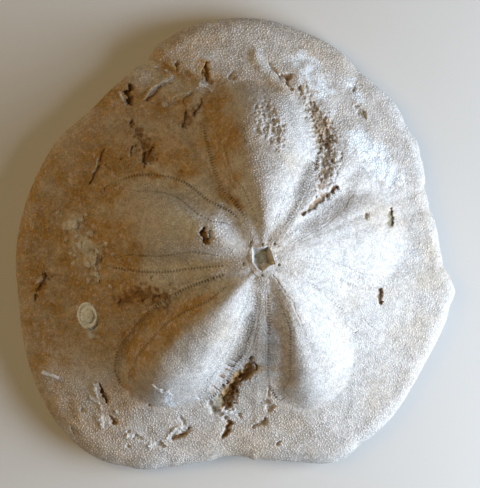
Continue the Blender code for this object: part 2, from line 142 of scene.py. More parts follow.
# Hollows: depth, share of the half width that the wall takes, and the places along the middle with
# the half width there.
HOLLOWS = {
    "double_pit": (1.2, 0.8, ((-16.4, 6.9, 1.4), (-15.7, 5.6, 1.1), (-15.4, 4.4, 1.4))),
    "double_pit_side": (0.9, 0.8, ((-14.4, 6.8, 0.7), (-14.1, 5.2, 0.8))),
    "red_spot": (0.8, 0.8, ((-24.1, 55.6, 0.7), (-24.1, 53.9, 0.8))),
    "front_groove": (0.8, 0.8, ((-22.7, 53.3, 0.8), (-20.5, 51.5, 1.4), (-19.3, 49.1, 1.1))),
    "front_slit": (1.3, 0.8, ((-16.0, 55.8, 0.5), (-16.2, 53.7, 1.1), (-15.8, 51.4, 1.5), (-14.4, 49.6, 0.5))),
    "front_dent": (0.8, 0.8, ((-7.8, 53.2, 0.5), (-9.1, 51.7, 1.1))),
    "crescent": (1.0, 0.8, ((-32.5, 45.0, 0.5), (-31.2, 46.4, 0.9), (-29.2, 48.4, 0.9), (-26.2, 49.9, 0.5))),
    "deep_pit": (2.1, 0.6, ((-37.4, 49.1, 0.9), (-38.4, 47.2, 1.1), (-37.8, 45.2, 1.4), (-37.4, 43.9, 0.9))),
    "groove_two": (0.8, 0.8, ((-24.6, 43.9, 0.9), (-21.5, 44.8, 1.1), (-19.6, 46.5, 0.8))),
    "brown_hole": (1.0, 0.9, ((-21.8, 37.8, 1.4), (-20.7, 39.9, 2.0))),
    "brown_line": (0.8, 0.8, ((-19.0, 41.1, 0.5), (-17.5, 42.1, 0.8), (-16.6, 43.0, 1.1), (-16.9, 44.7, 0.5))),
    "blotch": (1.0, 0.8, ((-36.8, 39.2, 0.7), (-36.8, 37.9, 1.3))),
    "specks": (0.6, 0.9, ((-25.6, 37.9, 1.4),)),
    "edge_spot": (0.6, 0.8, ((-42.0, 43.3, 0.9),)),
    "rough_a": (0.8, 0.9, ((-34.9, 35.2, 1.8), (-33.7, 32.5, 2.2))),
    "rough_b": (1.3, 0.8, ((-31.1, 30.4, 1.8), (-32.1, 27.9, 2.2))),
    "rough_slit": (0.8, 0.8, ((-36.9, 31.7, 0.5), (-36.9, 29.4, 0.5))),
    "left_front_crack": (0.8, 0.8, ((-45.2, 30.6, 0.4), (-45.6, 28.6, 0.7), (-45.7, 27.2, 0.4))),
    "left_front_crack_low": (0.8, 0.8, ((-46.0, 26.2, 0.5), (-46.7, 24.9, 0.8), (-49.0, 21.2, 0.4))),
    "crack_arm": (0.5, 0.8, ((-44.1, 26.6, 0.5), (-42.2, 24.6, 0.4))),
    "arm_spot": (0.4, 0.8, ((-41.8, 26.3, 0.5),)),
    "left_spot": (0.6, 0.8, ((-39.6, 28.3, 0.7),)),
    "small_left": (0.5, 0.8, ((-43.5, 20.2, 0.7), (-44.6, 19.4, 0.5))),
    "front_crack": (0.7, 0.8, ((2.1, 55.7, 0.4), (3.3, 54.2, 0.7), (5.3, 51.1, 0.4), (8.7, 48.2, 0.4))),
    "front_brown": (0.8, 0.9, ((5.8, 52.1, 0.9), (7.8, 51.7, 1.3), (7.5, 49.9, 0.8))),
    "grey_spots": (0.8, 0.9, ((10.6, 48.3, 1.4),)),
    "grey_spot_small": (0.6, 0.9, ((12.9, 48.9, 0.7),)),
    "right_top_pit": (0.9, 0.8, ((26.4, 48.0, 0.8),)),
    "brown_hollow": (1.0, 1.0, ((14.0, 42.5, 2.6), (16.3, 38.5, 4.2), (18.0, 34.5, 4.2))),
    "grey_streak": (0.6, 0.9, ((26.9, 43.4, 0.7), (28.4, 41.4, 1.5), (29.8, 39.7, 0.5))),
    "eroded_belt": (1.0, 1.0, ((18.0, 31.5, 4.0), (18.5, 27.5, 4.6), (18.5, 24.1, 3.8), (17.0, 19.0, 2.6))),
    "spongy": (0.8, 1.0, ((1.0, 42.0, 2.6), (2.9, 37.5, 3.8), (4.0, 33.6, 2.6))),
    "spongy_left": (0.6, 0.9, ((-1.3, 34.8, 1.4),)),
    "furrow": (1.7, 0.9, ((11.2, 12.0, 0.8), (14.5, 14.9, 1.4), (18.0, 17.6, 1.5), (21.2, 20.0, 0.9))),
    "right_front_pit": (0.9, 0.8, ((29.6, 11.7, 0.9),)),
    "right_front_slit": (1.1, 0.8, ((36.9, 13.8, 0.8), (36.9, 11.5, 1.1), (36.3, 8.9, 1.4))),
    "right_pit": (1.1, 0.8, ((33.9, -9.2, 0.9), (33.4, -11.5, 1.4), (33.9, -13.5, 0.8))),
    "cavity_top": (1.4, 0.7, ((-3.2, -28.3, 0.9), (-3.3, -30.1, 1.7), (-3.9, -32.0, 2.3), (-5.3, -33.5, 1.9))),
    "cavity_crack": (1.2, 0.7, ((-2.3, -29.5, 0.4), (-1.6, -31.8, 0.5))),
    "cavity_neck": (1.1, 0.8, ((-6.4, -33.4, 1.5), (-7.6, -35.0, 1.6), (-8.5, -36.6, 1.8))),
    "cavity_low": (1.6, 0.7, ((-9.0, -38.0, 2.7), (-9.6, -40.2, 2.8), (-9.9, -42.2, 2.0))),
    "cavity_shelf": (0.7, 0.9, ((-11.1, -38.2, 1.4), (-11.5, -41.7, 1.4))),
    "below_cavity": (1.2, 0.8, ((-10.3, -45.9, 1.2),)),
    "grey_groove": (0.8, 0.9, ((-14.9, -41.5, 0.9), (-13.6, -44.1, 1.1), (-11.7, -45.0, 0.7))),
    "brown_groove": (1.0, 0.8, ((-9.3, -47.1, 0.8), (-9.7, -49.3, 1.3), (-10.7, -50.7, 0.9), (-11.3, -51.8, 0.5))),
    "back_dot": (0.8, 0.8, ((-6.2, -45.3, 0.9),)),
    "back_dent": (1.0, 0.8, ((-0.2, -41.7, 0.3), (1.3, -41.4, 1.1), (2.1, -42.7, 1.6))),
    "back_dent_low": (1.0, 0.8, ((-2.1, -48.2, 0.7), (-0.4, -47.6, 1.1), (1.0, -47.0, 1.2))),
    "back_dark_pit": (0.8, 0.7, ((4.7, -53.5, 0.8),)),
    "back_nick": (0.6, 0.8, ((2.0, -37.0, 0.4), (2.0, -39.1, 0.5))),
    "low_groove": (1.0, 0.8, ((-25.5, -51.9, 0.9), (-23.5, -51.1, 1.1), (-21.8, -50.3, 1.1), (-21.1, -48.9, 0.8))),
    "pink_hollow": (0.6, 0.9, ((-23.2, -45.7, 0.8), (-22.1, -47.4, 0.9))),
    "low_brown": (0.8, 0.8, ((-30.0, -53.1, 0.7), (-28.5, -53.9, 0.9))),
    "low_crescent": (0.7, 0.8, ((-36.7, -52.0, 0.5), (-35.8, -51.2, 0.7), (-34.6, -52.0, 0.5))),
    "orange_pit": (1.0, 0.8, ((-43.5, -45.5, 0.5), (-42.2, -47.1, 1.3))),
    "left_slit": (1.9, 0.6, ((-46.5, -35.9, 0.2), (-45.7, -37.9, 0.6), (-44.9, -39.9, 0.7), (-44.3, -41.5, 0.3))),
    "low_left_spot": (0.6, 0.8, ((-51.4, -44.0, 0.7),)),
    "black_dot": (0.8, 0.8, ((-32.0, -42.1, 0.5),)),
    "low_dots": (0.5, 0.8, ((-38.3, -50.2, 0.5),)),
    "low_dots_edge": (0.5, 0.8, ((-38.5, -54.3, 0.5),)),
    "margin_slit": (0.9, 0.8, ((-54.7, -49.3, 0.5), (-53.5, -50.7, 0.8))),
    "left_crack": (0.8, 0.8, ((-61.9, -5.2, 0.5), (-62.3, -7.6, 0.9), (-64.3, -9.3, 1.1), (-64.9, -12.2, 0.4))),
    "left_crack_arm": (0.7, 0.8, ((-62.5, -5.0, 0.4), (-60.4, -6.2, 0.7), (-59.0, -5.6, 0.4))),
    "dark_a": (1.0, 0.9, ((-40.0, -12.6, 1.1),)),
    "dark_b": (0.8, 0.9, ((-34.0, -9.7, 1.4), (-32.8, -11.4, 1.4))),
    "dark_c": (0.7, 0.9, ((-30.7, -6.0, 0.8),)),
    "dark_d": (0.7, 0.9, ((-30.0, -11.6, 0.9), (-28.9, -11.0, 0.7))),
    "dark_e": (0.8, 0.8, ((-25.1, -7.4, 0.8), (-24.3, -8.9, 0.5))),
    "dark_f": (0.5, 0.8, ((-25.6, -10.8, 0.4),)),
    "crust_hole": (0.9, 0.9, ((-44.5, 0.1, 1.4), (-45.4, -1.3, 0.8))),
    "slit_below_disc": (0.5, 0.8, ((1.1, -16.4, 0.5), (1.5, -19.0, 0.5))),
    "star_corner": (0.7, 0.8, ((1.4, -21.0, 0.5), (2.0, -23.9, 0.4))),
    "scratch": (0.3, 1.0, ((29.3, -18.0, 0.3), (31.1, -19.7, 0.3))),
    "scratch_low": (0.3, 1.0, ((25.6, -22.0, 0.3), (27.3, -20.8, 0.3))),
    "fracture": (0.2, 1.0, ((2.9, -4.7, 0.2), (7.9, -11.9, 0.3), (11.0, -18.8, 0.2))),
}
# Lips and bumps of paler stone, in the same form with a height.
LIPS = {
    "crescent": (0.7, 1.0, ((-33.6, 44.9, 0.5), (-32.1, 47.6, 0.8), (-29.2, 50.3, 0.9), (-26.1, 51.3, 0.8))),
    "plate_edge": (0.6, 1.0, ((-31.8, 55.5, 0.4), (-28.2, 54.1, 0.5), (-26.2, 52.9, 0.7), (-25.9, 51.4, 0.5))),
    "deep_pit": (0.5, 1.0, ((-40.5, 47.5, 0.8), (-40.2, 45.5, 0.9), (-39.2, 43.8, 0.5))),
    "front_blob": (0.6, 1.0, ((-27.5, 43.8, 1.5),)),
    "groove_two": (0.4, 1.0, ((-25.8, 45.4, 0.5), (-22.9, 46.5, 0.8), (-20.1, 47.4, 0.5))),
    "rough_slit": (0.4, 1.0, ((-37.6, 31.4, 0.5), (-37.7, 28.8, 0.5))),
    "rough_bead": (0.5, 1.0, ((-34.2, 27.1, 0.9),)),
    "left_slit": (0.5, 1.0, ((-47.9, -36.1, 0.8), (-47.9, -38.1, 0.9), (-46.9, -40.1, 0.8))),
    "left_streak": (0.4, 1.0, ((-49.2, -40.5, 0.5), (-47.0, -41.8, 0.7), (-45.9, -43.3, 0.7))),
    "left_patch": (0.3, 1.0, ((-46.2, -46.4, 1.8), (-45.8, -48.4, 0.9))),
    "left_dab": (0.4, 1.0, ((-41.7, -44.1, 0.9),)),
    "ragged_edge": (0.8, 1.0, ((-31.2, -35.5, 0.3), (-29.1, -37.3, 0.9), (-26.8, -39.0, 1.9))),
    "low_dab": (0.4, 1.0, ((-38.7, -51.6, 0.9),)),
    "low_patch": (0.4, 1.0, ((-32.2, -54.2, 1.4),)),
    "low_groove": (0.5, 1.0, ((-26.9, -51.6, 0.8), (-25.8, -49.8, 0.7), (-23.2, -48.5, 0.9))),
    "cavity": (0.5, 1.0, ((-11.5, -43.7, 0.5), (-9.5, -44.3, 0.8), (-7.8, -43.4, 0.5))),
    "fork": (0.5, 1.0, ((-17.8, 49.4, 0.9), (-16.1, 49.1, 1.1), (-14.1, 47.3, 0.7))),
    "crust_crest": (0.5, 1.0, ((-46.9, 1.8, 0.9), (-47.3, -1.6, 0.8), (-46.6, -6.4, 1.1))),
    "lilac_knob": (0.6, 1.0, ((-43.0, -8.4, 1.4),)),
    "lilac_knob_small": (0.5, 1.0, ((-25.4, -9.2, 0.9),)),
    "left_crack": (0.4, 1.0, ((-63.2, -5.9, 0.9), (-64.6, -7.9, 0.7))),
    "left_front_crack": (0.4, 1.0, ((-46.4, 28.3, 0.5), (-48.0, 24.3, 0.7))),
    "right_bump": (0.6, 1.0, ((16.2, 32.4, 1.1),)),
}
# Lumps that take the colour of the stone around them.
LUMPS = {
    "front_ridge": (0.8, 1.0, ((-1.8, 58.3, 2.0), (-0.1, 54.2, 2.4), (4.1, 50.2, 2.4), (8.1, 46.5, 2.0))),
    "left_front_hump": (2.8, 1.0, ((-26.0, 12.0, 12.0), (-15.0, 13.0, 9.0))),
    "furrow_valley": (-1.2, 1.0, ((11.0, 9.5, 3.0), (17.5, 14.5, 5.0), (23.0, 18.5, 4.0))),
    "spine_seat": (0.6, 1.0, ((-63.1, -32.7, 0.9), (-58.2, -34.6, 0.9))),
    "shell_seat": (1.0, 0.6, ((-49.7, -16.2, 2.9), (-49.3, -17.0, 2.9))),
    "shell_tail": (0.7, 1.0, ((-48.9, -19.7, 1.4), (-48.4, -23.1, 1.0))),
    "crust": (0.9, 1.0, ((-53.3, 8.9, 3.5), (-49.5, 1.0, 4.5), (-48.0, -5.0, 3.0))),
}
# Round knobs of the crust: the place and the radius.
KNOBS = (
    (-53.3, 9.3, 1.4), (-51.4, 10.8, 0.8), (-50.0, 12.1, 0.6), (-55.1, 8.4, 0.8), (-52.8, 6.1, 0.8),
    (-58.4, 12.8, 0.8), (-51.8, 3.4, 0.9), (-56.0, 5.0, 0.7), (-54.3, 1.0, 0.8), (-53.1, 0.4, 0.7),
    (-53.8, -1.7, 0.7), (-49.7, -2.1, 1.1), (-50.5, -5.0, 0.7), (-49.2, -6.4, 0.8), (-44.6, 3.5, 0.8),
    (-48.8, 7.0, 1.1), (-42.2, 0.8, 0.7), (-43.0, -2.7, 0.6),
)
KNOB_RISE = 0.5  # height against the radius
STAR = (
    (-2.93, 3.31), (-1.42, 2.79), (0.38, 2.90), (1.56, 3.31), (2.38, 1.97),
    (3.56, -1.67), (1.56, -2.35), (-0.11, -3.83), (-1.42, -3.01), (-2.77, -1.34),
)
STAR_DEPTH = 2.0
STAR_OPENINGS = ((-3.09, 4.22), (0.05, 3.70), (3.31, 3.81), (-5.15, -1.67), (4.49, -1.92), (-0.11, -4.76))
OPENING_RADIUS, OPENING_DEPTH = 0.5, 0.9
LEDGE = ((-33.5, 57.6), (-32.1, 56.8), (-27.8, 55.4), (-22.0, 51.6), (-19.2, 47.8))
LEDGE_HEIGHT = 1.4
LEDGE_FADE = 11.0

MOUTH_REACH = 0.25
MOUTH_HOLLOW = 5.5
MOUTH_RADIUS = 4.6
MOUTH_DEPTH = 2.4
GROOVE_DIRECTIONS = (15, 95, 172, 227, 290)
GROOVE_START, GROOVE_END = 8.0, 44.0
GROOVE_WIDTH, GROOVE_DEPTH = 1.8, 0.7
VENT = (-7.0, -50.0)
VENT_RADIUS, VENT_DEPTH = 2.8, 1.0

LUMPINESS = ((14.0, 0.30), (4.5, 0.20))
BEND_SEED = 3  # without a seed, Blender draws the offsets of its noise vectors from the clock
WANDER = (2.6, 0.45)  # size and reach of the bends that make the outlines ragged
DRIFT = (15.0, 5.0)  # and of those of the wide stains
FRAYS = ((1.3, 0.6), (0.6, 0.3))  # size and share of the breaks along the edges of the hollows
FRAY_ROOM = 1.5
ROUGH_HEIGHT = 0.7
ROUGH_SIZE = 2.2
CHALK_LUMPS = ((2.4, 0.45), (1.2, 0.3))

# ---- Finer surface ------------------------------------------------------------------------------

SPHERE_STEPS = 6
RIM_LATITUDE = -0.3
FIRST_REACH, FINER_REACH = 0.8, 0.35
REST = 0.32  # the tubercles below hold the test this far off the table
FINE_NOISE = ((3.0, 0.13), (1.4, 0.08), (0.7, 0.03))
BREAK_NOISE = ((1.3, 0.55), (0.6, 0.3))  # inside the broken places
PITS = ((1.5, 0.75, 0.55), (0.8, 0.4, 0.5))  # spacing, depth and mouth, the last as a share of the spacing

# Where the pores are along each border, as shares of it, the width of their zone, how worn it is,
# the length of the outer slits and the pitch of the pores.
PORES = {
    "front": ((0.08, 0.66, 5.2, 0.30, 1.2, 0.80), (0.07, 0.52, 5.0, 0.55, 1.2, 0.80)),
    "right_front": ((0.08, 0.56, 4.8, 0.55, 1.0, 0.80), (0.08, 0.72, 4.8, 0.65, 1.0, 0.80)),
    "right_back": ((0.08, 0.56, 5.0, 0.70, 1.0, 0.80), (0.06, 0.79, 6.8, 0.20, 1.1, 0.77)),
    "left_back": ((0.06, 0.66, 5.4, 0.4, 1.2, 0.77), (0.10, 0.95, 6.4, 0.05, 0.8, 0.84)),
    "left_front": ((0.10, 0.74, 5.2, 0.1, 0.7, 0.84), (0.10, 0.78, 5.4, 0.15, 0.7, 0.84)),
}
STEPS_PER_PORE = 4
TROUGH_DEPTH = 0.8  # room under a pore band
BAND_SINK = 0.02  # the bands lie this far below the surface around them
RIM_SINK = 0.3  # and their rims this much further
BAND_END = 0.6  # room for the end of a band past its last pores
SLIT_DEPTH = 0.5
FURROW_DEPTH = 0.07
DOT_DEPTH = 0.45
DOT_ROW = 4.95
BAND_BOTTOM = 1.1
BAND_ROWS = (-0.9, -0.55, -0.25, 0.0, 0.3, 0.6, 0.95, 1.4, 1.9, 2.8, 4.0, 4.5, 4.75, 4.95, 5.15, 5.5, 6.2)

# ---- Where the stone is stained, in the form of the hollows, with a strength for the depth; the ochre is partly painted shade ------

# Iron stain, laid heaviest over the left half and the left flanks of the petals, where it is also painted shade.
OCHRE_AND_SHADE = (
    (0.90, 1.0, ((-64.0, 25.0, 19.0), (-66.0, -1.0, 22.0), (-62.0, -27.0, 18.0))),
    (0.95, 1.0, ((-45.0, 30.0, 20.0), (-50.0, 8.0, 26.0), (-45.0, -18.0, 20.0))),
    (0.65, 1.0, ((-60.0, -39.0, 11.0), (-55.0, -48.0, 7.0))),
    (0.90, 1.0, ((-40.0, 8.0, 11.0), (-38.0, -12.0, 15.0), (-36.0, -28.0, 12.0))),
    (0.90, 1.0, ((-27.0, 34.0, 12.0), (-21.0, 25.0, 7.0))),
    (1.0, 0.85, ((-13.0, 46.0, 7.5), (-13.0, 31.0, 10.0), (-8.5, 17.0, 5.0), (-6.0, 12.0, 2.5))),
    (1.00, 0.8, ((-18.0, -9.5, 4.5), (-30.0, -21.5, 8.5), (-38.5, -33.5, 7.5))),
    (0.90, 0.9, ((-30.0, 60.0, 3.0), (-25.0, 54.0, 4.0), (-19.0, 50.0, 3.0), (-16.0, 54.0, 3.0))),
    (0.95, 1.0, ((-46.0, 44.0, 12.0), (-36.0, 45.0, 10.0), (-24.0, 44.0, 5.0))),
    (0.50, 1.0, ((-43.0, -41.0, 9.0), (-32.0, -37.0, 7.0))),
    (0.80, 1.0, ((-36.0, 24.0, 9.0), (-27.0, 19.0, 3.0))),
    (0.50, 1.0, ((-32.0, -12.0, 8.0), (-21.0, -10.0, 3.0))),
    (0.40, 1.0, ((-26.0, 62.0, 11.0), (-12.0, 62.0, 7.0))),
    (0.30, 1.0, ((-50.0, -49.0, 9.0), (-38.0, -58.0, 7.0))),
    (0.15, 1.0, ((-21.0, -52.0, 8.0), (0.0, -53.0, 6.0))),
    (0.35, 1.0, ((3.5, -12.0, 2.0), (5.0, -22.0, 3.5), (8.0, -34.0, 3.5))),
    (0.90, 0.7, ((-3.6, -30.0, 2.2), (-9.0, -38.0, 3.4), (-10.5, -42.0, 2.4))),
    (0.50, 1.0, ((16.0, 40.0, 4.0), (18.0, 33.0, 3.5))),
    (0.30, 1.0, ((-3.0, 50.0, 8.0), (10.0, 52.0, 5.0))),
)
CHALK = (
    (1.0, 0.9, ((10.5, 57.0, 4.5), (14.0, 53.0, 6.0), (18.0, 48.0, 4.5))),
    (0.9, 1.0, ((25.0, 50.0, 3.2), (28.0, 46.0, 3.4))),
    (1.0, 0.9, ((27.0, 34.0, 4.5), (33.0, 28.0, 6.5), (37.0, 23.0, 5.0))),
    (0.55, 1.0, ((-54.0, 9.0, 5.5), (-49.0, 1.0, 6.0), (-47.0, -5.0, 3.0))),
    (0.5, 1.0, ((45.0, 0.0, 4.0),)),
    (0.8, 1.0, ((-49.5, -16.6, 4.6), (-48.4, -21.5, 2.4))),
    (0.5, 1.0, ((-21.0, 11.0, 8.0), (-13.0, 9.0, 7.0))),
    (0.9, 0.7, ((-27.5, -38.6, 1.2), (-25.5, -41.5, 1.8))),
    (1.0, 1.0, ((-14.7, 66.5, 1.4),)),
    (0.8, 1.0, ((-22.9, 7.2, 1.4),)),
    (0.8, 1.0, ((-17.5, 6.5, 0.9),)),
)
EARTH = (
    (0.7, 0.8, ((-3.6, -29.1, 1.6), (-4.5, -32.6, 2.4), (-9.0, -37.9, 2.6), (-9.8, -42.0, 2.0))),
    (1.0, 0.8, ((-16.4, 6.9, 1.6), (-15.4, 4.4, 1.6))),
    (0.65, 1.0, ((-35.0, 35.5, 3.0), (-33.7, 32.5, 4.0), (-31.6, 28.5, 4.2))),
    (0.75, 1.0, ((-40.5, -12.6, 3.5), (-33.4, -10.0, 5.5), (-28.0, -10.8, 3.5))),
    (0.5, 1.0, ((14.6, 42.5, 3.0), (16.5, 37.5, 4.5), (18.5, 30.0, 3.5), (17.0, 20.0, 3.0))),
    (0.6, 1.0, ((11.2, 12.0, 1.0), (14.5, 14.9, 1.5), (18.0, 17.6, 1.6), (21.2, 20.0, 1.0))),
    (0.7, 0.9, ((5.8, 52.1, 1.2), (7.8, 51.0, 1.6))),
    (0.8, 0.9, ((-9.3, -47.1, 1.0), (-9.7, -49.3, 1.4), (-10.9, -51.2, 0.8))),
    (0.7, 0.9, ((-25.5, -51.9, 1.0), (-21.8, -50.3, 1.2))),
    (0.9, 0.9, ((-43.0, -46.2, 0.9), (-42.0, -47.3, 1.3))),
    (0.9, 0.9, ((-16.2, 54.5, 0.9), (-15.8, 51.4, 1.4))),
    (0.8, 0.9, ((-62.3, -7.6, 0.9), (-64.3, -9.3, 1.2), (-64.9, -12.2, 0.5))),
    (0.7, 0.9, ((33.7, -9.8, 1.2), (34.0, -13.2, 1.0))),
    (0.7, 0.9, ((-24.1, 55.0, 1.0),)),
    (0.7, 0.9, ((-7.5, 51.0, 1.4),)),
    (0.6, 1.0, ((-21.6, 38.3, 3.2), (-18.0, 42.5, 2.6))),
    (0.7, 0.9, ((-36.8, 38.4, 1.4),)),
    (0.25, 1.0, ((0.5, 43.0, 2.6), (2.5, 38.0, 4.0), (4.4, 34.0, 3.0))),
)
GREY = (
    (1.0, 0.6, ((-0.1, 0.0, 2.8),)),
    (0.8, 0.9, ((-11.3, -40.0, 1.8), (-13.0, -43.5, 1.6))),
    (0.7, 0.9, ((28.4, 41.4, 1.8),)),
    (0.7, 0.9, ((10.6, 48.3, 1.4),)),
    (0.8, 0.9, ((36.9, 13.0, 1.2), (36.5, 9.5, 1.6))),
    (0.6, 1.0, ((-5.0, 36.0, 1.6), (-4.0, 31.0, 1.2))),
    (0.35, 1.0, ((1.0, 41.0, 4.0), (3.0, 35.0, 4.0))),
    (0.45, 1.0, ((13.0, 43.0, 4.0), (17.5, 34.0, 5.0), (18.0, 24.0, 4.0))),
)
POROUS = (
    (1.0, 0.7, ((-1.0, 46.0, 3.5), (0.5, 40.0, 5.0), (3.0, 35.0, 4.6), (5.0, 30.0, 2.6))),
    (0.8, 0.7, ((12.0, 46.0, 4.0), (16.5, 38.5, 5.5), (18.5, 31.0, 6.0), (17.6, 24.6, 5.0))),
    (0.4, 1.0, ((11.0, 54.0, 4.0), (24.0, 46.0, 5.0))),
    (0.9, 0.9, ((-34.5, 36.0, 3.0), (-33.9, 32.0, 4.0), (-31.5, 28.0, 4.0))),
    (0.7, 0.9, ((-21.3, 38.8, 3.4), (-18.0, 42.5, 3.0), (-23.5, 44.5, 3.0), (-30.0, 46.5, 2.4))),
    (0.5, 1.0, ((-9.5, -38.0, 4.0), (-9.8, -43.0, 4.0))),
    (0.5, 1.0, ((-53.0, 9.0, 6.0), (-49.0, 0.0, 6.0))),
    (1.0, 0.9, ((-40.5, -12.6, 3.0), (-33.4, -9.5, 5.5), (-28.0, -11.0, 3.5))),
)


def smooth(value, low=0.0, high=1.0):
    """0 below low, 1 above high, with an even rise between."""
    share = np.clip((value - low) / (high - low), 0.0, 1.0)
    return share * share * (3.0 - 2.0 * share)


def between(a, b, c, d, t):
    """The Catmull-Rom curve from b to c."""
    return 0.5 * (2 * b + (c - a) * t + (2 * a - 5 * b + 4 * c - d) * t**2 + (3 * b - a - 3 * c + d) * t**3)


def margin_radius(angle):
    """Distance of the margin from the disc in the directions given, in radians."""
    radii = np.array(MARGIN)
    place = np.degrees(angle) % 360.0 / 10.0
    first = np.floor(place).astype(int)
    near = [radii[(first + step) % len(radii)] for step in (-1, 0, 1, 2)]
    radius = between(*near, place - first)
    for direction, half_width, out in CHIPS:
        off = (np.degrees(angle) - direction + 180.0) % 360.0 - 180.0
        radius = radius + out * np.exp(-((off / half_width) ** 2))
    return radius


def curve_through(points, steps=10):
    """A smooth open line through the points."""
    knots = np.array(points, float)
    knots = np.vstack([2 * knots[0] - knots[1], knots, 2 * knots[-1] - knots[-2]])
    t = np.linspace(0.0, 1.0, steps, endpoint=False)[:, None]
    parts = [between(*knots[i - 1 : i + 3], t) for i in range(1, len(knots) - 2)]
    return np.vstack([*parts, knots[-2:-1]])


def across_and_along(spots, line):
    """Distance of each spot from the line, positive on its right side, and how far along it lies."""
    best = np.full(len(spots), np.inf)
    along = np.zeros(len(spots))
    for start, origin, step in zip(run_along(line), line[:-1], line[1:] - line[:-1]):
        off = spots - origin
        share = np.clip(off @ step / (step @ step), 0.0, 1.0)
        gap = off - share[:, None] * step
        distance = np.hypot(gap[:, 0], gap[:, 1])
        side = np.where(step[0] * off[:, 1] - step[1] * off[:, 0] > 0, -1.0, 1.0)
        nearer = distance < np.abs(best)
        best = np.where(nearer, distance * side, best)
        along = np.where(nearer, start + share * math.hypot(*step), along)
    return best, along


def distance_to(spots, line):
    if len(line) == 1:
        return np.hypot(*(spots - line[0]).T)
    return across_and_along(spots, line)[0]


def depth_inside(spots, loop):
    """How far each spot is from the loop: an even distance, with no crease down the middle."""
    middles = (loop[1:] + loop[:-1]) / 2
    lengths = np.hypot(*(loop[1:] - loop[:-1]).T)
    total = np.zeros(len(spots))
    for middle, length in zip(middles, lengths):
        square = ((spots - middle) ** 2).sum(axis=1) + 1.0
        total += length / square**2
    return np.maximum((total * 2 / np.pi) ** (-1 / 3) - 1.0, 0.0)


def is_inside(spots, loop):
    x, y = spots.T
    within = np.zeros(len(spots), bool)
    for (x0, y0), (x1, y1) in zip(loop, np.roll(loop, -1, axis=0)):
        if y0 != y1:
            within ^= ((y0 > y) != (y1 > y)) & (x < (x1 - x0) * (y - y0) / (y1 - y0) + x0)
    return within


def swell(share):
    share = np.clip(share, 0.0, 1.0)
    return 0.7 * smooth(share) + 0.3 * (1.0 - (1.0 - share) ** 2.5)


def petal_loop(petal):
    left, right = (curve_through(border) for border in petal["borders"])
    return np.vstack([left, right[::-1][1:]])


def petal_height(spots, petal):
    """Height that the petal adds, its even depth inside or outside its border, and which spots it holds."""
    loop = petal_loop(petal)
    depth, within = depth_inside(spots, loop), is_inside(spots, loop)
    near, far, left_at_tip = petal["swelling"]
    tip = np.array(petal["borders"][0][-1])
    along = spots @ tip / (tip @ tip)
    height = near + (far - near) * smooth(along, 0.25, 0.8)
    height = height * (1.0 - (1.0 - left_at_tip) * smooth(along, 0.7, 1.0))
    height = height * swell((depth - SWELL_START) / SWELL_WIDTH)
    height = height - PORE_ZONE_DEPTH * np.sin(np.pi * np.clip(depth / PORE_ZONE, 0.0, 1.0))
    return np.where(within, height, 0.0), depth, within


def stroke(spots, height, wall, points, frayed=None):
    """A dent, a lump or a stain of this height along the points, each with its own half width. A
    frayed one has its edge moved in and out by these shares of its width."""
    knots = np.array(points, float)
    if frayed is not None:
        knots[:, 2] *= FRAY_ROOM
    reach = knots[:, 2].max()
    low, high = knots[:, :2].min(axis=0) - reach, knots[:, :2].max(axis=0) + reach
    near = ((spots > low) & (spots < high)).all(axis=1)
    chosen = spots[near]
    best = np.zeros(len(chosen))
    for (x, y, start), (next_x, next_y, end) in zip(knots, np.vstack([knots[1:], knots[-1:]])):
        step = np.array((next_x - x, next_y - y))
        share = np.clip((chosen - (x, y)) @ step / max(step @ step, 1e-9), 0.0, 1.0)
        gap = chosen - (x, y) - share[:, None] * step
        best = np.maximum(best, 1.0 - np.hypot(*gap.T) / (start + (end - start) * share))
    if frayed is not None:
        best = np.where(best > 0.0, (best - 1.0) * FRAY_ROOM + 1.0 + frayed[near], 0.0)
    out = np.zeros(len(spots))
    out[near] = height * smooth(best / wall)
    return out


def widened(points, reach):
    return tuple((x, y, 1.2 * half_width + reach) for x, y, half_width in points)


def ledge(spots):
    line = np.array(LEDGE)
    distance = -distance_to(spots, line)
    step = smooth(distance, -0.5, 0.5) * np.exp(-np.maximum(distance, 0.0) / LEDGE_FADE)
    reach = spots - line.mean(axis=0)
    return LEDGE_HEIGHT * step * (1.0 - smooth(np.hypot(*reach.T), 9.0, 15.0))


def unevenness(spots, size, seed):
    """An even noise from about -1 to 1, of lumps of this size."""
    return np.array([noise.noise(Vector((x / size, y / size, seed))) for x, y in spots])


def pore_stretches():
    """The lines that the pores follow, from the disc outwards: the petal, the line, the side that its
    inside is on, and where the pores start and end, how wide the zone is and how worn it is."""
    for name, stretches in PORES.items():
        for side, points, stretch in zip((1.0, -1.0), PETALS[name]["borders"], stretches):
            line = curve_through(points, 24)
            yield name, line, side, stretch


def run_along(line):
    return np.concatenate([[0.0], np.cumsum(np.hypot(*np.diff(line, axis=0).T))])


def zone_scale(along, width, left):
    """The pore zone's width against the full one. It narrows towards the disc and towards its end,
    which is this much further along."""
    return width / PORE_ZONE * np.clip(0.16 + along / 17.0, 0.0, 1.0) * (0.4 + 0.6 * smooth(left, 0.0, 9.0))


def place_across(step, scale):
    """Distance in from the border of a row of the pore zone. Only its inside is scaled."""
    return np.where(step < 0.0, step, np.minimum(step, PORE_ZONE) * scale + np.maximum(step - PORE_ZONE, 0.0))


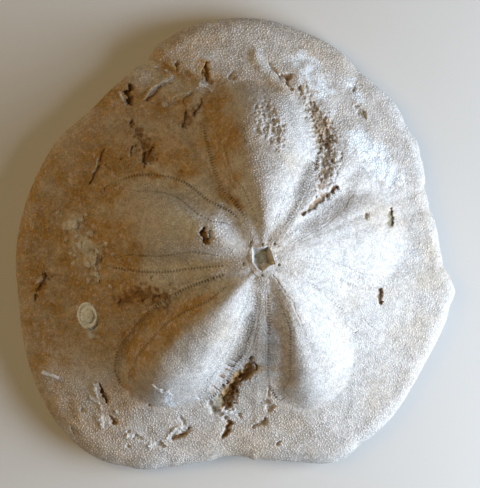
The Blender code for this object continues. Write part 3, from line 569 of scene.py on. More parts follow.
def band_cover(spots, spare=0.0):
    """1 where a pore band covers the surface, 0 away from it."""
    cover = np.zeros(len(spots))
    for _, line, side, (start, end, width, *_) in pore_stretches():
        reach = 9.0
        near = ((spots > line.min(axis=0) - reach) & (spots < line.max(axis=0) + reach)).all(axis=1)
        across, along = across_and_along(spots[near], line)
        length = run_along(line)[-1]
        inner = PORE_ZONE * zone_scale(along, width, end * length - along)
        inside = smooth(across * side, -0.5 - spare, -0.1 - spare)
        inside = inside * (1.0 - smooth(across * side - inner, 0.1 + spare, 0.5 + spare))
        inside = inside * smooth(along, start * length + 0.6 - spare, start * length + 1.0 - spare)
        inside = inside * (1.0 - smooth(along, end * length - 1.0 + spare, end * length - 0.6 + spare))
        cover[near] = np.maximum(cover[near], inside)
    return cover


def star_dent(spots):
    """The hollow of the apical disc and the small openings around it."""
    loop = np.array(STAR)
    near = np.hypot(*spots.T) < 8.0
    dent = np.zeros(len(spots))
    edge = np.abs(distance_to(spots[near], np.vstack([loop, loop[:1]])))
    dent[near] = STAR_DEPTH * smooth(edge, 0.0, 0.7) * is_inside(spots[near], loop)
    for x, y in STAR_OPENINGS:
        dent = np.maximum(dent, stroke(spots, OPENING_DEPTH, 0.7, ((x, y, OPENING_RADIUS),)))
    return dent


def wandered(spots, bend=WANDER):
    """The spots moved a little, so that an outline drawn through them turns ragged."""
    size, reach = bend
    noise.seed_set(BEND_SEED)
    bends = [noise.turbulence_vector(Vector((x / size, y / size, 7.0)), 3, False)[:2] for x, y in spots]
    return spots + reach * np.array(bends).reshape(-1, 2)


def frays(spots):
    return sum(share * unevenness(spots, size, seed + 60) for seed, (size, share) in enumerate(FRAYS))


def dents(spots):
    """How deep the damage is at each spot, and how rough it is there."""
    moved, frayed = wandered(spots), frays(spots)
    dent, rough = star_dent(spots), np.zeros(len(spots))
    for depth, wall, points in HOLLOWS.values():
        one = stroke(moved, depth, wall, points, frayed)
        dent = dent + one
        rough = np.maximum(rough, one / depth * min(depth / 2.0, 1.0))
    return dent, rough


def knobs(spots):
    """How far up a knob of the crust each spot is, and how high that is."""
    share, height = np.zeros(len(spots)), np.zeros(len(spots))
    for x, y, radius in KNOBS:
        dome = np.sqrt(np.clip(1.0 - ((spots - (x, y)) ** 2).sum(axis=1) / radius**2, 0.0, 1.0))
        share = np.maximum(share, dome)
        height = np.maximum(height, dome * radius * KNOB_RISE)
    return share, height


def pits(spots):
    """Small pits close together, where the surface has gone porous."""
    porous = strongest(spots, POROUS)
    chosen = np.flatnonzero(porous > 0.05)
    dent = np.zeros(len(spots))
    for size, depth, mouth in PITS:
        for index in chosen:
            x, y = spots[index]
            gap = noise.voronoi(Vector((x / size, y / size, size)))[0][0]
            dent[index] += depth * porous[index] * (1.0 - min(gap / mouth, 1.0)) ** 1.5
    return dent


def strongest(spots, strokes, frayed=None):
    mask = np.zeros(len(spots))
    for strength, wall, points in strokes:
        mask = np.maximum(mask, stroke(spots, strength, wall, points, frayed))
    return mask


def upper_height(spots, share, trough=False):
    """Height of the upper side. share is 0 at the disc and 1 at the margin. A trough leaves room for
    the pore bands that lie in it."""
    height = MARGIN_HEIGHT + (DISC_HEIGHT - MARGIN_HEIGHT) / (1.0 + (share / DOME_REACH) ** DOME_FALL)
    outside = np.full(len(spots), np.inf)
    for petal in PETALS.values():
        added, depth, within = petal_height(spots, petal)
        height = height + added
        outside = np.where(within, 0.0, np.minimum(outside, depth))
    height = height + BETWEEN_HEIGHT * swell(outside / BETWEEN_WIDTH) * (1.0 - smooth(share, 0.45, 0.8))
    for seed, (size, amount) in enumerate(LUMPINESS):
        height = height + amount * unevenness(spots, size, seed)
    moved = wandered(spots)
    dent, rough = dents(spots)
    height = height - dent - pits(spots) + knobs(moved)[1]
    frayed = frays(spots)
    for lump in LUMPS.values():
        height = height + stroke(moved, *lump)
    for lip in LIPS.values():
        height = height + stroke(moved, *lip, frayed)
    height = height + ledge(moved)
    height = height + ROUGH_HEIGHT * rough * unevenness(moved, ROUGH_SIZE, len(LUMPINESS))
    for seed, (size, amount) in enumerate(BREAK_NOISE):
        height = height + amount * rough * unevenness(spots, size, seed + 20)
    crusted = strongest(moved, CHALK)
    for seed, (size, amount) in enumerate(CHALK_LUMPS):
        height = height + amount * crusted * unevenness(spots, size, seed + 50)
    for seed, (size, amount) in enumerate(FINE_NOISE):
        height = height + amount * unevenness(spots, size, seed + 30)
    if trough:
        height = height - TROUGH_DEPTH * band_cover(spots)
    return height


def groove_lines():
    """The food grooves that run out from the mouth under each petal."""
    for direction in np.radians(GROOVE_DIRECTIONS):
        way = np.array((np.cos(direction), np.sin(direction)))
        yield np.array((GROOVE_START * way, GROOVE_END * way))


def under_height(spots, share):
    """Height of the underside: a flat ring to rest on, a hollow at the mouth and a lifted margin."""
    height = REST + MOUTH_HOLLOW * (1.0 - smooth(share, 0.0, MOUTH_REACH))
    height = height + stroke(spots, MOUTH_DEPTH, 0.4, ((0.0, 0.0, MOUTH_RADIUS),))
    height = height + UNDER_LIFT * smooth(share, 0.86, 1.0)
    for line in groove_lines():
        points = tuple((x, y, GROOVE_WIDTH) for x, y in line)
        height = np.maximum(height, REST + stroke(spots, GROOVE_DEPTH, 1.0, points))
    return height + stroke(spots, VENT_DEPTH, 0.5, ((*VENT, VENT_RADIUS),))


def spread(unit):
    """Where points of the unit sphere lie on the test, seen from above: the spots, which of them are
    on the upper side, their share of the way to the margin, and how far round the edge they are."""
    angle = np.arctan2(unit[:, 1], unit[:, 0])
    above = unit[:, 2] >= RIM_LATITUDE
    side = np.where(above, 1.0, -1.0)
    share = np.sqrt(np.clip((1.0 - side * unit[:, 2]) / (1.0 - side * RIM_LATITUDE), 0.0, 1.0))
    turn = np.clip((share - 1.0) / RIM_ROUND + 1.0, 0.0, 1.0) * np.pi / 2
    share = np.where(turn > 0.0, 1.0 - RIM_ROUND + RIM_ROUND * np.sin(turn), share)
    reach = share * margin_radius(angle)
    spots = np.stack([reach * np.cos(angle), reach * np.sin(angle)], axis=1)
    return spots, above, share, turn


def surface_points(unit, trough):
    """Points of the unit sphere moved to the surface of the test, in millimetres from the disc."""
    spots, above, share, turn = spread(unit)
    height = np.empty(len(unit))
    height[above] = upper_height(spots[above], share[above], trough)
    height[~above] = under_height(spots[~above], share[~above])
    height = RIM_HEIGHT + (height - RIM_HEIGHT) * np.cos(turn)
    return np.column_stack([spots, height])


def to_frame(points):
    """Millimetres from the disc to metres in the frame of the solid model."""
    return (np.asarray(points) + np.array((*(DISC + CENTRING), 0.0))) * MM


def margin_centring():
    """How far the outline's box is off the middle of the solid model's box, in millimetres."""
    angle = np.linspace(0.0, 2 * np.pi, 2880, endpoint=False)
    outline = margin_radius(angle)[:, None] * np.stack([np.cos(angle), np.sin(angle)], axis=1) + DISC
    middle = (outline.min(axis=0) + outline.max(axis=0)) / 2
    return np.array(((LOW + HIGH) / 2)[:2]) / MM - middle


CENTRING = margin_centring()


# ---- Looks --------------------------------------------------------------------------------------

PETAL_NAMES = tuple(PETALS)
BEAD_RADIUS, BEAD_TOP, BEAD_HEIGHT = 0.34, 0.2, 0.1
BEAD_SIDES = 6
BEAD_SPACING, LOW_BEAD_SPACING = 0.68, 1.5
LOW_BEAD_SCALE = 1.3
SMOOTH_PETALS = ("right_front", "right_back", "left_back")  # those with smaller tubercles
BEAD_TRIES = 14.0  # places tried for each square millimetre
SHELL_PLACE = (-49.5, -16.6)
SHELL_SIZE = (3.9, 3.0, 1.2)
SPINE_ENDS = ((-63.1, -32.7), (-58.2, -34.6))
MASKS = {"chalk": CHALK, "earth": EARTH, "grey": GREY, "porous": POROUS}


def span_prop(name, description, default, low, high):
    """A size in metres."""
    return bpy.props.FloatProperty(
        name=name, description=description, default=default, min=low, max=high,
        unit="LENGTH", subtype="DISTANCE", precision=5,
    )


def colour_prop(name, description, default):
    return bpy.props.FloatVectorProperty(
        name=name, description=description, default=default, size=3, min=0.0, max=1.0, subtype="COLOR"
    )


class UrchinSizes(bpy.types.PropertyGroup):
    tubercle: span_prop("Tubercle radius", "Radius of the largest tubercles at their foot",
                        BEAD_RADIUS * MM, 0.0001, 0.001)
    pore_depth: span_prop("Pore depth", "Depth of the slits in the bands of pores",
                          SLIT_DEPTH * MM, 0.0, 0.0008)
    tubercle_gap: span_prop("Tubercle spacing", "Least distance between two tubercles above",
                            BEAD_SPACING * MM, 0.0004, 0.003)


class UrchinColours(bpy.types.PropertyGroup):
    stone: colour_prop("Stone", "The clean stone of the test", (0.62, 0.61, 0.60))
    warm: colour_prop("Warm stone", "The warmer patches of the stone", (0.60, 0.54, 0.47))
    # The colours of the iron stain, which over the left half is also painted shade.
    ochre: colour_prop("Ochre", "The iron stain", (0.52, 0.32, 0.10))
    rust_and_shade: colour_prop("Rust", "The deeper iron stain", (0.44, 0.24, 0.05))
    lilac: colour_prop("Lilac", "The pinkish grains of the stone", (0.66, 0.57, 0.58))
    moss: colour_prop("Moss", "The greenish grey grains of the stone", (0.42, 0.42, 0.31))
    chalk: colour_prop("Chalk", "The white weathered crust", (0.80, 0.86, 0.92))
    # Dirt and painted shade between the tubercles, at their feet and on the low ground between grains.
    gap: colour_prop("Gap", "The dirt between the tubercles", (0.24, 0.18, 0.12))
    # Also the colour that hollows and pits darken to by their depth, there partly painted shade.
    earth: colour_prop("Earth", "The soil left in the hollows", (0.22, 0.11, 0.03))
    grey: colour_prop("Grey", "The grey-green fill of the disc", (0.25, 0.25, 0.18))
    # Painted shade at the bottom of the pore slits and dots.
    pore_shade: colour_prop("Dark", "The bottom of pores and pits", (0.035, 0.024, 0.014))
    floor: colour_prop("Floor", "The studio floor", (0.62, 0.61, 0.59))


class UrchinLights(bpy.types.PropertyGroup):
    key: bpy.props.FloatProperty(name="Key", description="Power of the low key light, in watts",
                                 default=3.6, min=0.0, max=100.0)
    fill: bpy.props.FloatProperty(name="Fill", description="Power of the warm fill light, in watts",
                                  default=2.9, min=0.0, max=100.0)


# ---- Meshes -------------------------------------------------------------------------------------


def directions_of(bm):
    points = np.array([vert.co[:] for vert in bm.verts])
    return points / np.linalg.norm(points, axis=1)[:, None]


def halve_edges(bm, wanted):
    """Halves the edges that have both ends at wanted places on the unit sphere."""
    near = wanted(directions_of(bm))
    edges = [edge for edge in bm.edges if near[edge.verts[0].index] and near[edge.verts[1].index]]
    bmesh.ops.subdivide_edges(bm, edges=edges, cuts=1)
    bmesh.ops.triangulate(bm, faces=[face for face in bm.faces if len(face.verts) > 3])
    bm.verts.index_update()


def damaged(spots, reach):
    """Which spots are in or near a hollow, a lip, a porous place or the disc."""
    near = (strongest(spots, POROUS) > 0.5) | (np.hypot(*spots.T) < 6.0 + reach)
    for _, _, points in (*HOLLOWS.values(), *LIPS.values()):
        near |= stroke(spots, 1.0, 0.1, widened(points, reach)) > 0.0
    for x, y, radius in KNOBS:
        near |= np.hypot(*(spots - (x, y)).T) < radius + reach
    return near | (np.abs(distance_to(spots, np.array(LEDGE))) < 0.8 + reach)


def wants_halving(unit, reach, bands):
    spots, above = spread(unit)[:2]
    near = np.zeros(len(spots), bool)
    near[above] = damaged(spots[above], reach)
    if bands:
        near[above] |= (band_cover(spots[above], 0.7) > 0.0) & (band_cover(spots[above], -0.8) < 1.0)
        for line in groove_lines():
            near |= ~above & (np.abs(distance_to(spots, line)) < GROOVE_WIDTH + reach)
        near |= ~above & (np.hypot(*spots.T) < MOUTH_RADIUS + 2.0)
        near |= ~above & (np.hypot(*(spots - VENT).T) < VENT_RADIUS + reach)
    return near


def add_value(mesh, name, values):
    layer = mesh.attributes.new(name, "FLOAT", "POINT")
    layer.data.foreach_set("value", np.asarray(values, np.float32))


def points_of(mesh):
    points = np.empty(len(mesh.vertices) * 3, np.float32)
    mesh.vertices.foreach_get("co", points)
    return points.reshape(-1, 3).astype(float)


def from_frame(points):
    """Metres in the frame of the solid model to millimetres from the disc."""
    return points / MM - np.array((*(DISC + CENTRING), 0.0))


def paint(mesh, paleness=0.0):
    """Puts the stains and the depth of the damage on the mesh, for the material to read. A growth has
    a paleness of its own."""
    places = from_frame(points_of(mesh))
    spots, above = places[:, :2], smooth(places[:, 2], 1.0, 4.0)
    moved = wandered(spots)
    drifted, frayed = wandered(moved, DRIFT), frays(spots)
    # Iron stain, partly painted shade over the left half and the left flanks.
    add_value(mesh, "ochre", strongest(drifted, OCHRE_AND_SHADE) * above)
    for name, strokes in MASKS.items():
        add_value(mesh, name, strongest(moved, strokes, frayed) * above)
    lips = strongest(moved, [(0.6, wall, points) for _, wall, points in LIPS.values()], frayed)
    pale = np.maximum(np.maximum(lips, 0.6 * knobs(moved)[0]), paleness)
    add_value(mesh, "pale", pale * above)
    # Depth of the hollows and pits, by which the material darkens them: soil, and painted shade.
    deep = 0.5 * (dents(spots)[0] - 0.8 * star_dent(spots)) + 0.9 * pits(spots)
    add_value(mesh, "deep", np.clip(deep, 0.0, 1.0) * above)


def new_object(name, mesh, material):
    obj = bpy.data.objects.new(name, mesh)
    bpy.context.scene.collection.objects.link(obj)
    mesh.materials.clear()
    mesh.materials.append(material)
    return obj


def finish_piece(obj):
    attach(obj, "root")
    return obj


def tubercle_sizes(spots, above, share):
    """Size of the tubercles at each spot, against the full size, and 0 where there are none."""
    size = LOW_BEAD_SCALE * (share > 0.14)
    tops = spots[above]
    dent, _ = dents(tops)
    kept = 1.0 - smooth(dent, 0.1, 0.4)
    kept = kept * (1.0 - band_cover(tops, 0.3)) * (1.0 - 0.8 * strongest(tops, POROUS))
    kept = kept * (1.0 - 0.35 * smooth(unevenness(tops, 9.0, 41), 0.1, 0.6))
    kept = kept * (0.8 + 0.2 * smooth(share[above], 0.0, 0.4))
    for name in SMOOTH_PETALS:
        kept = kept * (1.0 - 0.3 * is_inside(tops, petal_loop(PETALS[name])))
    size[above] = np.where(np.hypot(*tops.T) < 4.8, 0.0, kept)
    return size


def add_sectors(mesh):
    """Numbers the faces by the petal they lie at, and those below after the last."""
    centres = np.empty(len(mesh.polygons) * 3, np.float32)
    mesh.polygons.foreach_get("center", centres)
    places = from_frame(centres.reshape(-1, 3).astype(float))
    angle = np.degrees(np.arctan2(places[:, 1], places[:, 0]))
    sector = np.floor((126.0 - angle) % 360.0 / 72.0)
    sector = np.where(places[:, 2] > RIM_HEIGHT, sector, len(PETALS)).astype(np.int32)
    layer = mesh.attributes.new("sector", "INT", "FACE")
    layer.data.foreach_set("value", sector)


def make_test():
    """The surface of the whole test."""
    bm = bmesh.new()
    bmesh.ops.create_icosphere(bm, subdivisions=SPHERE_STEPS, radius=1.0)
    halve_edges(bm, lambda unit: unit[:, 2] > RIM_LATITUDE - 0.02)
    halve_edges(bm, lambda unit: wants_halving(unit, FIRST_REACH, True))
    halve_edges(bm, lambda unit: wants_halving(unit, FINER_REACH, False))
    unit = directions_of(bm)
    for vert, point in zip(bm.verts, to_frame(surface_points(unit, True))):
        vert.co = point
    bm.normal_update()
    for face in bm.faces:
        face.smooth = True
    mesh = bpy.data.meshes.new("urchin_test")
    bm.to_mesh(mesh)
    bm.free()
    spots, above, share, _ = spread(unit)
    add_value(mesh, "seat", tubercle_sizes(spots, above, share))
    add_sectors(mesh)
    return mesh


def add_band(bm, line, side, stretch, slit_depth, seed):
    """One closed band of pores along a border: its upper side follows the test, with a slit and an
    inner opening for each pore."""
    start, end, width, worn, slit_length, pitch = stretch
    run = run_along(line)
    first, last = start * run[-1], end * run[-1]
    pores = round((last - first) / pitch)
    columns = pores * STEPS_PER_PORE
    rows = len(BAND_ROWS) + 2
    verts = bmesh.ops.create_grid(bm, x_segments=columns, y_segments=rows - 1, size=0.5)["verts"]
    column = np.array([round((vert.co.x + 0.5) * columns) for vert in verts])
    row = np.array([round((vert.co.y + 0.5) * (rows - 1)) for vert in verts])
    step = np.array(BAND_ROWS)[np.clip(row - 1, 0, len(BAND_ROWS) - 1)]
    along = first + column / columns * (last - first)
    scale = zone_scale(along, width, last - along)
    tangent = np.gradient(line, run, axis=0)
    ways = np.stack([np.interp(along, run, tangent[:, axis]) for axis in (0, 1)], axis=1)
    ways = ways / np.hypot(*ways.T)[:, None]
    inward = np.stack([ways[:, 1], -ways[:, 0]], axis=1) * side
    middle = np.stack([np.interp(along, run, line[:, axis]) for axis in (0, 1)], axis=1)
    spots = middle + inward * place_across(step, scale)[:, None]
    share = np.hypot(*spots.T) / margin_radius(np.arctan2(spots[:, 1], spots[:, 0]))
    from_end = np.minimum(along - first, last - along)
    at_rim = np.maximum(1.0 - (step - BAND_ROWS[0]) / 0.35, 1.0 - (BAND_ROWS[-1] - step) / 0.5)
    at_rim = np.clip(np.maximum(at_rim, 1.0 - from_end / 0.5), 0.0, 1.0)
    height = upper_height(spots, share) - BAND_SINK - RIM_SINK * at_rim
    random = np.random.default_rng(seed)
    pore = column // STEPS_PER_PORE
    strong = 0.7 + 0.3 * random.random(pores + 1)
    places = np.stack([np.arange(pores + 1) * pitch, np.full(pores + 1, seed)], axis=1)
    weather = smooth(unevenness(places, 5.0, seed), -0.5, 0.5)
    strong = strong * (1.0 - worn * (0.6 + 0.8 * weather)).clip(0.0, 1.0)
    strength = strong[pore] * smooth(from_end, BAND_END, BAND_END + 1.5)
    phase = column % STEPS_PER_PORE
    groove = np.where(phase == 0, 1.0, np.where(phase == 2, 0.0, 0.5)) * strength
    slit = smooth(step, -0.15, 0.3) * (1.0 - smooth(step, slit_length - 0.1, slit_length + 0.4))
    furrow = FURROW_DEPTH * smooth(step, -0.3, 0.3) * (1.0 - smooth(step, 4.0, 4.6))
    dot = np.clip(1.0 - np.abs(step - DOT_ROW) / 0.35, 0.0, 1.0)
    narrow = np.clip(scale * 1.4, 0.35, 1.0)
    # Painted shade at the bottom of the slits and dots.
    pore_shade = np.maximum(slit, dot) * groove * narrow
    depth = np.maximum(slit * slit_depth, dot * DOT_DEPTH) * groove * narrow + furrow * groove
    bottom = (row == 0) | (row == rows - 1)
    height = np.where(bottom, height - BAND_BOTTOM, height - depth)
    layer = bm.verts.layers.float["pore"]
    for vert, point, value in zip(verts, to_frame(np.column_stack([spots, height])), pore_shade):
        vert.co = point
        vert[layer] = value
    own = set(verts)
    rims = [edge for edge in bm.edges if edge.is_boundary and edge.verts[0] in own]
    of_row = dict(zip(verts, row))
    long_sides = [edge for edge in rims if of_row[edge.verts[0]] == of_row[edge.verts[1]]]
    bmesh.ops.bridge_loops(bm, edges=long_sides)
    bmesh.ops.holes_fill(bm, edges=[edge for edge in bm.edges if edge.is_boundary], sides=0)


def make_bands(name, slit_depth):
    bm = bmesh.new()
    bm.verts.layers.float.new("pore")
    for seed, (petal, line, side, stretch) in enumerate(pore_stretches()):
        if petal == name:
            add_band(bm, line, side, stretch, slit_depth, seed)
    bmesh.ops.triangulate(bm, faces=bm.faces[:])
    bmesh.ops.recalc_face_normals(bm, faces=bm.faces[:])
    for face in bm.faces:
        face.smooth = True
    mesh = bpy.data.meshes.new(f"pore_bands_{name}")
    bm.to_mesh(mesh)
    bm.free()
    paint(mesh)
    return mesh


def make_bead(radius):
    """A low boss. Its foot is darkened, as dirt and painted shade where it meets the test."""
    bm = bmesh.new()
    halo = bm.verts.layers.float.new("halo")
    size = radius / BEAD_RADIUS
    bmesh.ops.create_cone(
        bm, cap_ends=True, segments=BEAD_SIDES, radius1=radius, radius2=BEAD_TOP * size, depth=0.15 * size
    )
    top = max(bm.faces, key=lambda face: face.calc_center_median().z)
    bmesh.ops.poke(bm, faces=[top], offset=(BEAD_HEIGHT - 0.07) * size)
    bmesh.ops.translate(bm, verts=bm.verts[:], vec=(0.0, 0.0, -0.005 * size))
    bmesh.ops.triangulate(bm, faces=bm.faces[:])
    for vert in bm.verts:
        vert[halo] = 1.0 if vert.co.z < 0.0 else 0.0
    for face in bm.faces:
        face.smooth = True
    mesh = bpy.data.meshes.new("tubercle")
    bm.to_mesh(mesh)
    bm.free()
    return bpy.data.objects.new("tubercle", mesh)


def named(tree, name, kind):
    node = tree.nodes.new("GeometryNodeInputNamedAttribute")
    node.data_type = kind
    node.inputs["Name"].default_value = name
    return node.outputs["Attribute"]


def bead_spreader(bead, sector, apart):
    """A node group that stands beads at random on the faces of one sector, no nearer to each other
    than apart, each scaled by its seat, as one mesh."""
    tree = bpy.data.node_groups.new(f"spread beads {sector}", "GeometryNodeTree")
    tree.interface.new_socket("Geometry", in_out="INPUT", socket_type="NodeSocketGeometry")
    tree.interface.new_socket("Geometry", in_out="OUTPUT", socket_type="NodeSocketGeometry")
    source, result = tree.nodes.new("NodeGroupInput"), tree.nodes.new("NodeGroupOutput")
    info = tree.nodes.new("GeometryNodeObjectInfo")
    info.inputs["Object"].default_value = bead
    same = tree.nodes.new("FunctionNodeCompare")
    same.data_type = "INT"
    same.operation = "EQUAL"
    same_number, wanted_number = [socket for socket in same.inputs if socket.type == "INT"]
    wanted_number.default_value = sector
    scatter = tree.nodes.new("GeometryNodeDistributePointsOnFaces")
    scatter.distribute_method = "POISSON"
    scatter.inputs["Distance Min"].default_value = apart
    scatter.inputs["Density Max"].default_value = BEAD_TRIES * (BEAD_SPACING * MM / apart) ** 2 / MM**2
    scatter.inputs["Seed"].default_value = sector
    big = tree.nodes.new("FunctionNodeCompare")
    big.operation = "GREATER_THAN"
    big.inputs["B"].default_value = 0.33
    chance = tree.nodes.new("FunctionNodeRandomValue")
    chance.inputs[2].default_value, chance.inputs[3].default_value = 0.75, 1.1
    scale = tree.nodes.new("ShaderNodeMath")
    scale.operation = "MULTIPLY"
    stand = tree.nodes.new("GeometryNodeInstanceOnPoints")
    real = tree.nodes.new("GeometryNodeRealizeInstances")
    size = named(tree, "seat", "FLOAT")
    for start, end in (
        (named(tree, "sector", "INT"), same_number),
        (same.outputs["Result"], scatter.inputs["Selection"]),
        (source.outputs["Geometry"], scatter.inputs["Mesh"]),
        (scatter.outputs["Points"], stand.inputs["Points"]),
        (scatter.outputs["Rotation"], stand.inputs["Rotation"]),
        (size, big.inputs["A"]),
        (big.outputs["Result"], stand.inputs["Selection"]),
        (size, scale.inputs[0]),
        (chance.outputs[1], scale.inputs[1]),
        (info.outputs["Geometry"], stand.inputs["Instance"]),
        (scale.outputs["Value"], stand.inputs["Scale"]),
        (stand.outputs["Instances"], real.inputs["Geometry"]),
        (real.outputs["Geometry"], result.inputs["Geometry"]),
    ):
        tree.links.new(start, end)
    return tree


def spread_beads(name, test, bead, sector, apart):
    """The mesh of all the beads of one sector."""
    carrier = bpy.data.objects.new("carrier", test.data)
    bpy.context.scene.collection.objects.link(carrier)
    modifier = carrier.modifiers.new("beads", "NODES")
    tree = bead_spreader(bead, sector, apart)
    modifier.node_group = tree
    graph = bpy.context.evaluated_depsgraph_get()
    mesh = bpy.data.meshes.new_from_object(carrier.evaluated_get(graph), depsgraph=graph)
    mesh.name = name
    bpy.data.objects.remove(carrier)
    bpy.data.node_groups.remove(tree)
    return mesh


def make_shell(size):
    """A small oval shell grown onto the test: a low cap with ridges of growth and a sunken middle."""
    bm = bmesh.new()
    bmesh.ops.create_uvsphere(bm, u_segments=48, v_segments=40, radius=1.0)
    for vert in bm.verts:
        out = math.hypot(vert.co.x, vert.co.y)
        ridge = 0.07 * math.sin(out * 16.0) * (vert.co.z > 0.0)
        dip = 0.3 * math.exp(-(((out - 0.62) / 0.14) ** 2)) * (vert.co.z > 0.0)
        vert.co.z += ridge - dip
    bmesh.ops.scale(bm, verts=bm.verts[:], vec=Vector(size) * MM)
    bmesh.ops.rotate(bm, verts=bm.verts[:], matrix=Matrix.Rotation(math.radians(100.0), 3, "Z"))
    return bm


def make_spine(ends):
    """A short piece of a spine: a ribbed rod, thicker at one end."""
    low, high = (np.array(end) for end in ends)
    length = math.hypot(*(high - low)) * MM
    bm = bmesh.new()
    bmesh.ops.create_cone(
        bm, cap_ends=True, segments=14, radius1=0.75 * MM, radius2=0.5 * MM, depth=length
    )
    sides = [edge for edge in bm.edges if abs(edge.verts[0].co.z - edge.verts[1].co.z) > 0.5 * length]
    bmesh.ops.subdivide_edges(bm, edges=sides, cuts=10)
    for vert in bm.verts:
        vert.co.x *= 1.0 + 0.12 * math.sin(vert.co.z / MM * 4.0)
    bmesh.ops.rotate(bm, verts=bm.verts[:], matrix=Matrix.Rotation(math.pi / 2, 3, "Y"))
    way = math.atan2(*(high - low)[::-1])
    bmesh.ops.rotate(bm, verts=bm.verts[:], matrix=Matrix.Rotation(way, 3, "Z"))
    return bm


def finish_growth(bm, name, spot, lift, paleness):
    """Puts a growth on the test at the spot and makes it a mesh."""
    ground = surface_at(np.array([spot]))[0]
    place = to_frame([(*spot, ground + lift)])[0]
    bmesh.ops.translate(bm, verts=bm.verts[:], vec=place)
    bmesh.ops.triangulate(bm, faces=bm.faces[:])
    bmesh.ops.recalc_face_normals(bm, faces=bm.faces[:])
    for face in bm.faces:
        face.smooth = True
    mesh = bpy.data.meshes.new(name)
    bm.to_mesh(mesh)
    bm.free()
    paint(mesh, paleness)
    return mesh


def surface_at(spots):
    share = np.hypot(*spots.T) / margin_radius(np.arctan2(spots[:, 1], spots[:, 0]))
    return upper_height(spots, share)


# ---- Materials ----------------------------------------------------------------------------------


def new_group(name, inputs, outputs):
    tree = bpy.data.node_groups.new(name, "ShaderNodeTree")
    for label, default in inputs:
        socket = tree.interface.new_socket(label, in_out="INPUT", socket_type="NodeSocketFloat")
        socket.default_value = default
    for label in outputs:
        tree.interface.new_socket(label, in_out="OUTPUT", socket_type="NodeSocketFloat")
    return tree, tree.nodes.new("NodeGroupInput"), tree.nodes.new("NodeGroupOutput")


def math_node(tree, operation, *values):
    """A Math node on links or plain numbers, and its output."""
    node = tree.nodes.new("ShaderNodeMath")
    node.operation = operation
    for socket, value in zip(node.inputs, values):
        if isinstance(value, (int, float)):
            socket.default_value = value
        else:
            tree.links.new(value, socket)
    return node.outputs["Value"]


def noise_node(tree, scale, detail, roughness=0.5):
    node = tree.nodes.new("ShaderNodeTexNoise")
    node.inputs["Detail"].default_value = detail
    node.inputs["Roughness"].default_value = roughness
    if isinstance(scale, (int, float)):
        node.inputs["Scale"].default_value = scale
    else:
        tree.links.new(scale, node.inputs["Scale"])
    coords = tree.nodes.new("ShaderNodeTexCoord")
    tree.links.new(coords.outputs["Object"], node.inputs["Vector"])
    return node.outputs["Fac"]


def soft_step(tree, value, low, high):
    node = tree.nodes.new("ShaderNodeMapRange")
    node.interpolation_type = "SMOOTHSTEP"
    node.inputs["From Min"].default_value = low
    node.inputs["From Max"].default_value = high
    tree.links.new(value, node.inputs["Value"])
    return node.outputs["Result"]


def worn_mask_group():
    """A mask with a ragged, patchy edge."""
    tree, source, result = new_group(
        "worn mask", (("Mask", 0.0), ("Scale", 200.0), ("Raggedness", 1.0)), ("Mask",)
    )
    patches = noise_node(tree, source.outputs["Scale"], 5.0, 0.6)
    swing = math_node(tree, "MULTIPLY", math_node(tree, "SUBTRACT", patches, 0.5), source.outputs["Raggedness"])
    present = math_node(tree, "MULTIPLY", source.outputs["Mask"], 6.0)
    swing = math_node(tree, "MULTIPLY", swing, math_node(tree, "MINIMUM", present, 1.0))
    raised = math_node(tree, "ADD", source.outputs["Mask"], swing)
    tree.links.new(soft_step(tree, raised, 0.1, 0.9), result.inputs["Mask"])
    return tree


def stone_grain_group():
    """The fine grain of limestone: a tone for its colour, a height for its bump, and two masks for
    grains of other colours."""
    outputs = ("Tone", "Height", "Pink", "Green", "Specks", "Granules")
    tree, source, result = new_group("stone grain", (("Scale", 1.0),), outputs)
    sizes = [math_node(tree, "MULTIPLY", source.outputs["Scale"], size) for size in (2600.0, 1000.0, 340.0)]
    fine, middle, coarse = (noise_node(tree, size, 2.0, 0.6) for size in sizes)
    mixed = math_node(tree, "ADD", math_node(tree, "MULTIPLY", fine, 0.4), math_node(tree, "MULTIPLY", middle, 0.35))
    mixed = math_node(tree, "ADD", mixed, math_node(tree, "MULTIPLY", coarse, 0.25))
    tree.links.new(soft_step(tree, mixed, 0.34, 0.66), result.inputs["Tone"])
    tree.links.new(mixed, result.inputs["Height"])
    spots = noise_node(tree, math_node(tree, "MULTIPLY", source.outputs["Scale"], 700.0), 3.0, 0.7)
    tree.links.new(soft_step(tree, spots, 0.52, 0.66), result.inputs["Pink"])
    tree.links.new(soft_step(tree, spots, 0.47, 0.33), result.inputs["Green"])
    specks = noise_node(tree, math_node(tree, "MULTIPLY", source.outputs["Scale"], 1300.0), 2.0, 0.6)
    tree.links.new(soft_step(tree, specks, 0.5, 0.68), result.inputs["Specks"])
    cells = tree.nodes.new("ShaderNodeTexVoronoi")
    coords = tree.nodes.new("ShaderNodeTexCoord")
    tree.links.new(coords.outputs["Object"], cells.inputs["Vector"])
    tree.links.new(math_node(tree, "MULTIPLY", source.outputs["Scale"], 1450.0), cells.inputs["Scale"])
    tree.links.new(soft_step(tree, cells.outputs["Distance"], 0.62, 0.2), result.inputs["Granules"])
    return tree


def use_group(tree, group, **values):
    """A group's node. A link or a plain number goes to the input of that name."""
    node = tree.nodes.new("ShaderNodeGroup")
    node.node_tree = group
    for label, value in values.items():
        if isinstance(value, (int, float)):
            node.inputs[label].default_value = value
        else:
            tree.links.new(value, node.inputs[label])
    return node


def attribute(tree, name):
    node = tree.nodes.new("ShaderNodeAttribute")
    node.attribute_name = name
    return node.outputs["Fac"]


def blend_colours(tree, share, first, second, mode="MIX"):
    """A Mix node on colours: a link, or a plain colour. Its output."""
    node = tree.nodes.new("ShaderNodeMix")
    node.data_type = "RGBA"
    node.blend_type = mode
    factor, a, b = node.inputs[0], node.inputs[6], node.inputs[7]
    tree.links.new(share, factor)
    for socket, value in ((a, first), (b, second)):
        if isinstance(value, bpy.types.NodeSocket):
            tree.links.new(value, socket)
        else:
            socket.default_value = (*value, 1.0)
    return node.outputs[2]


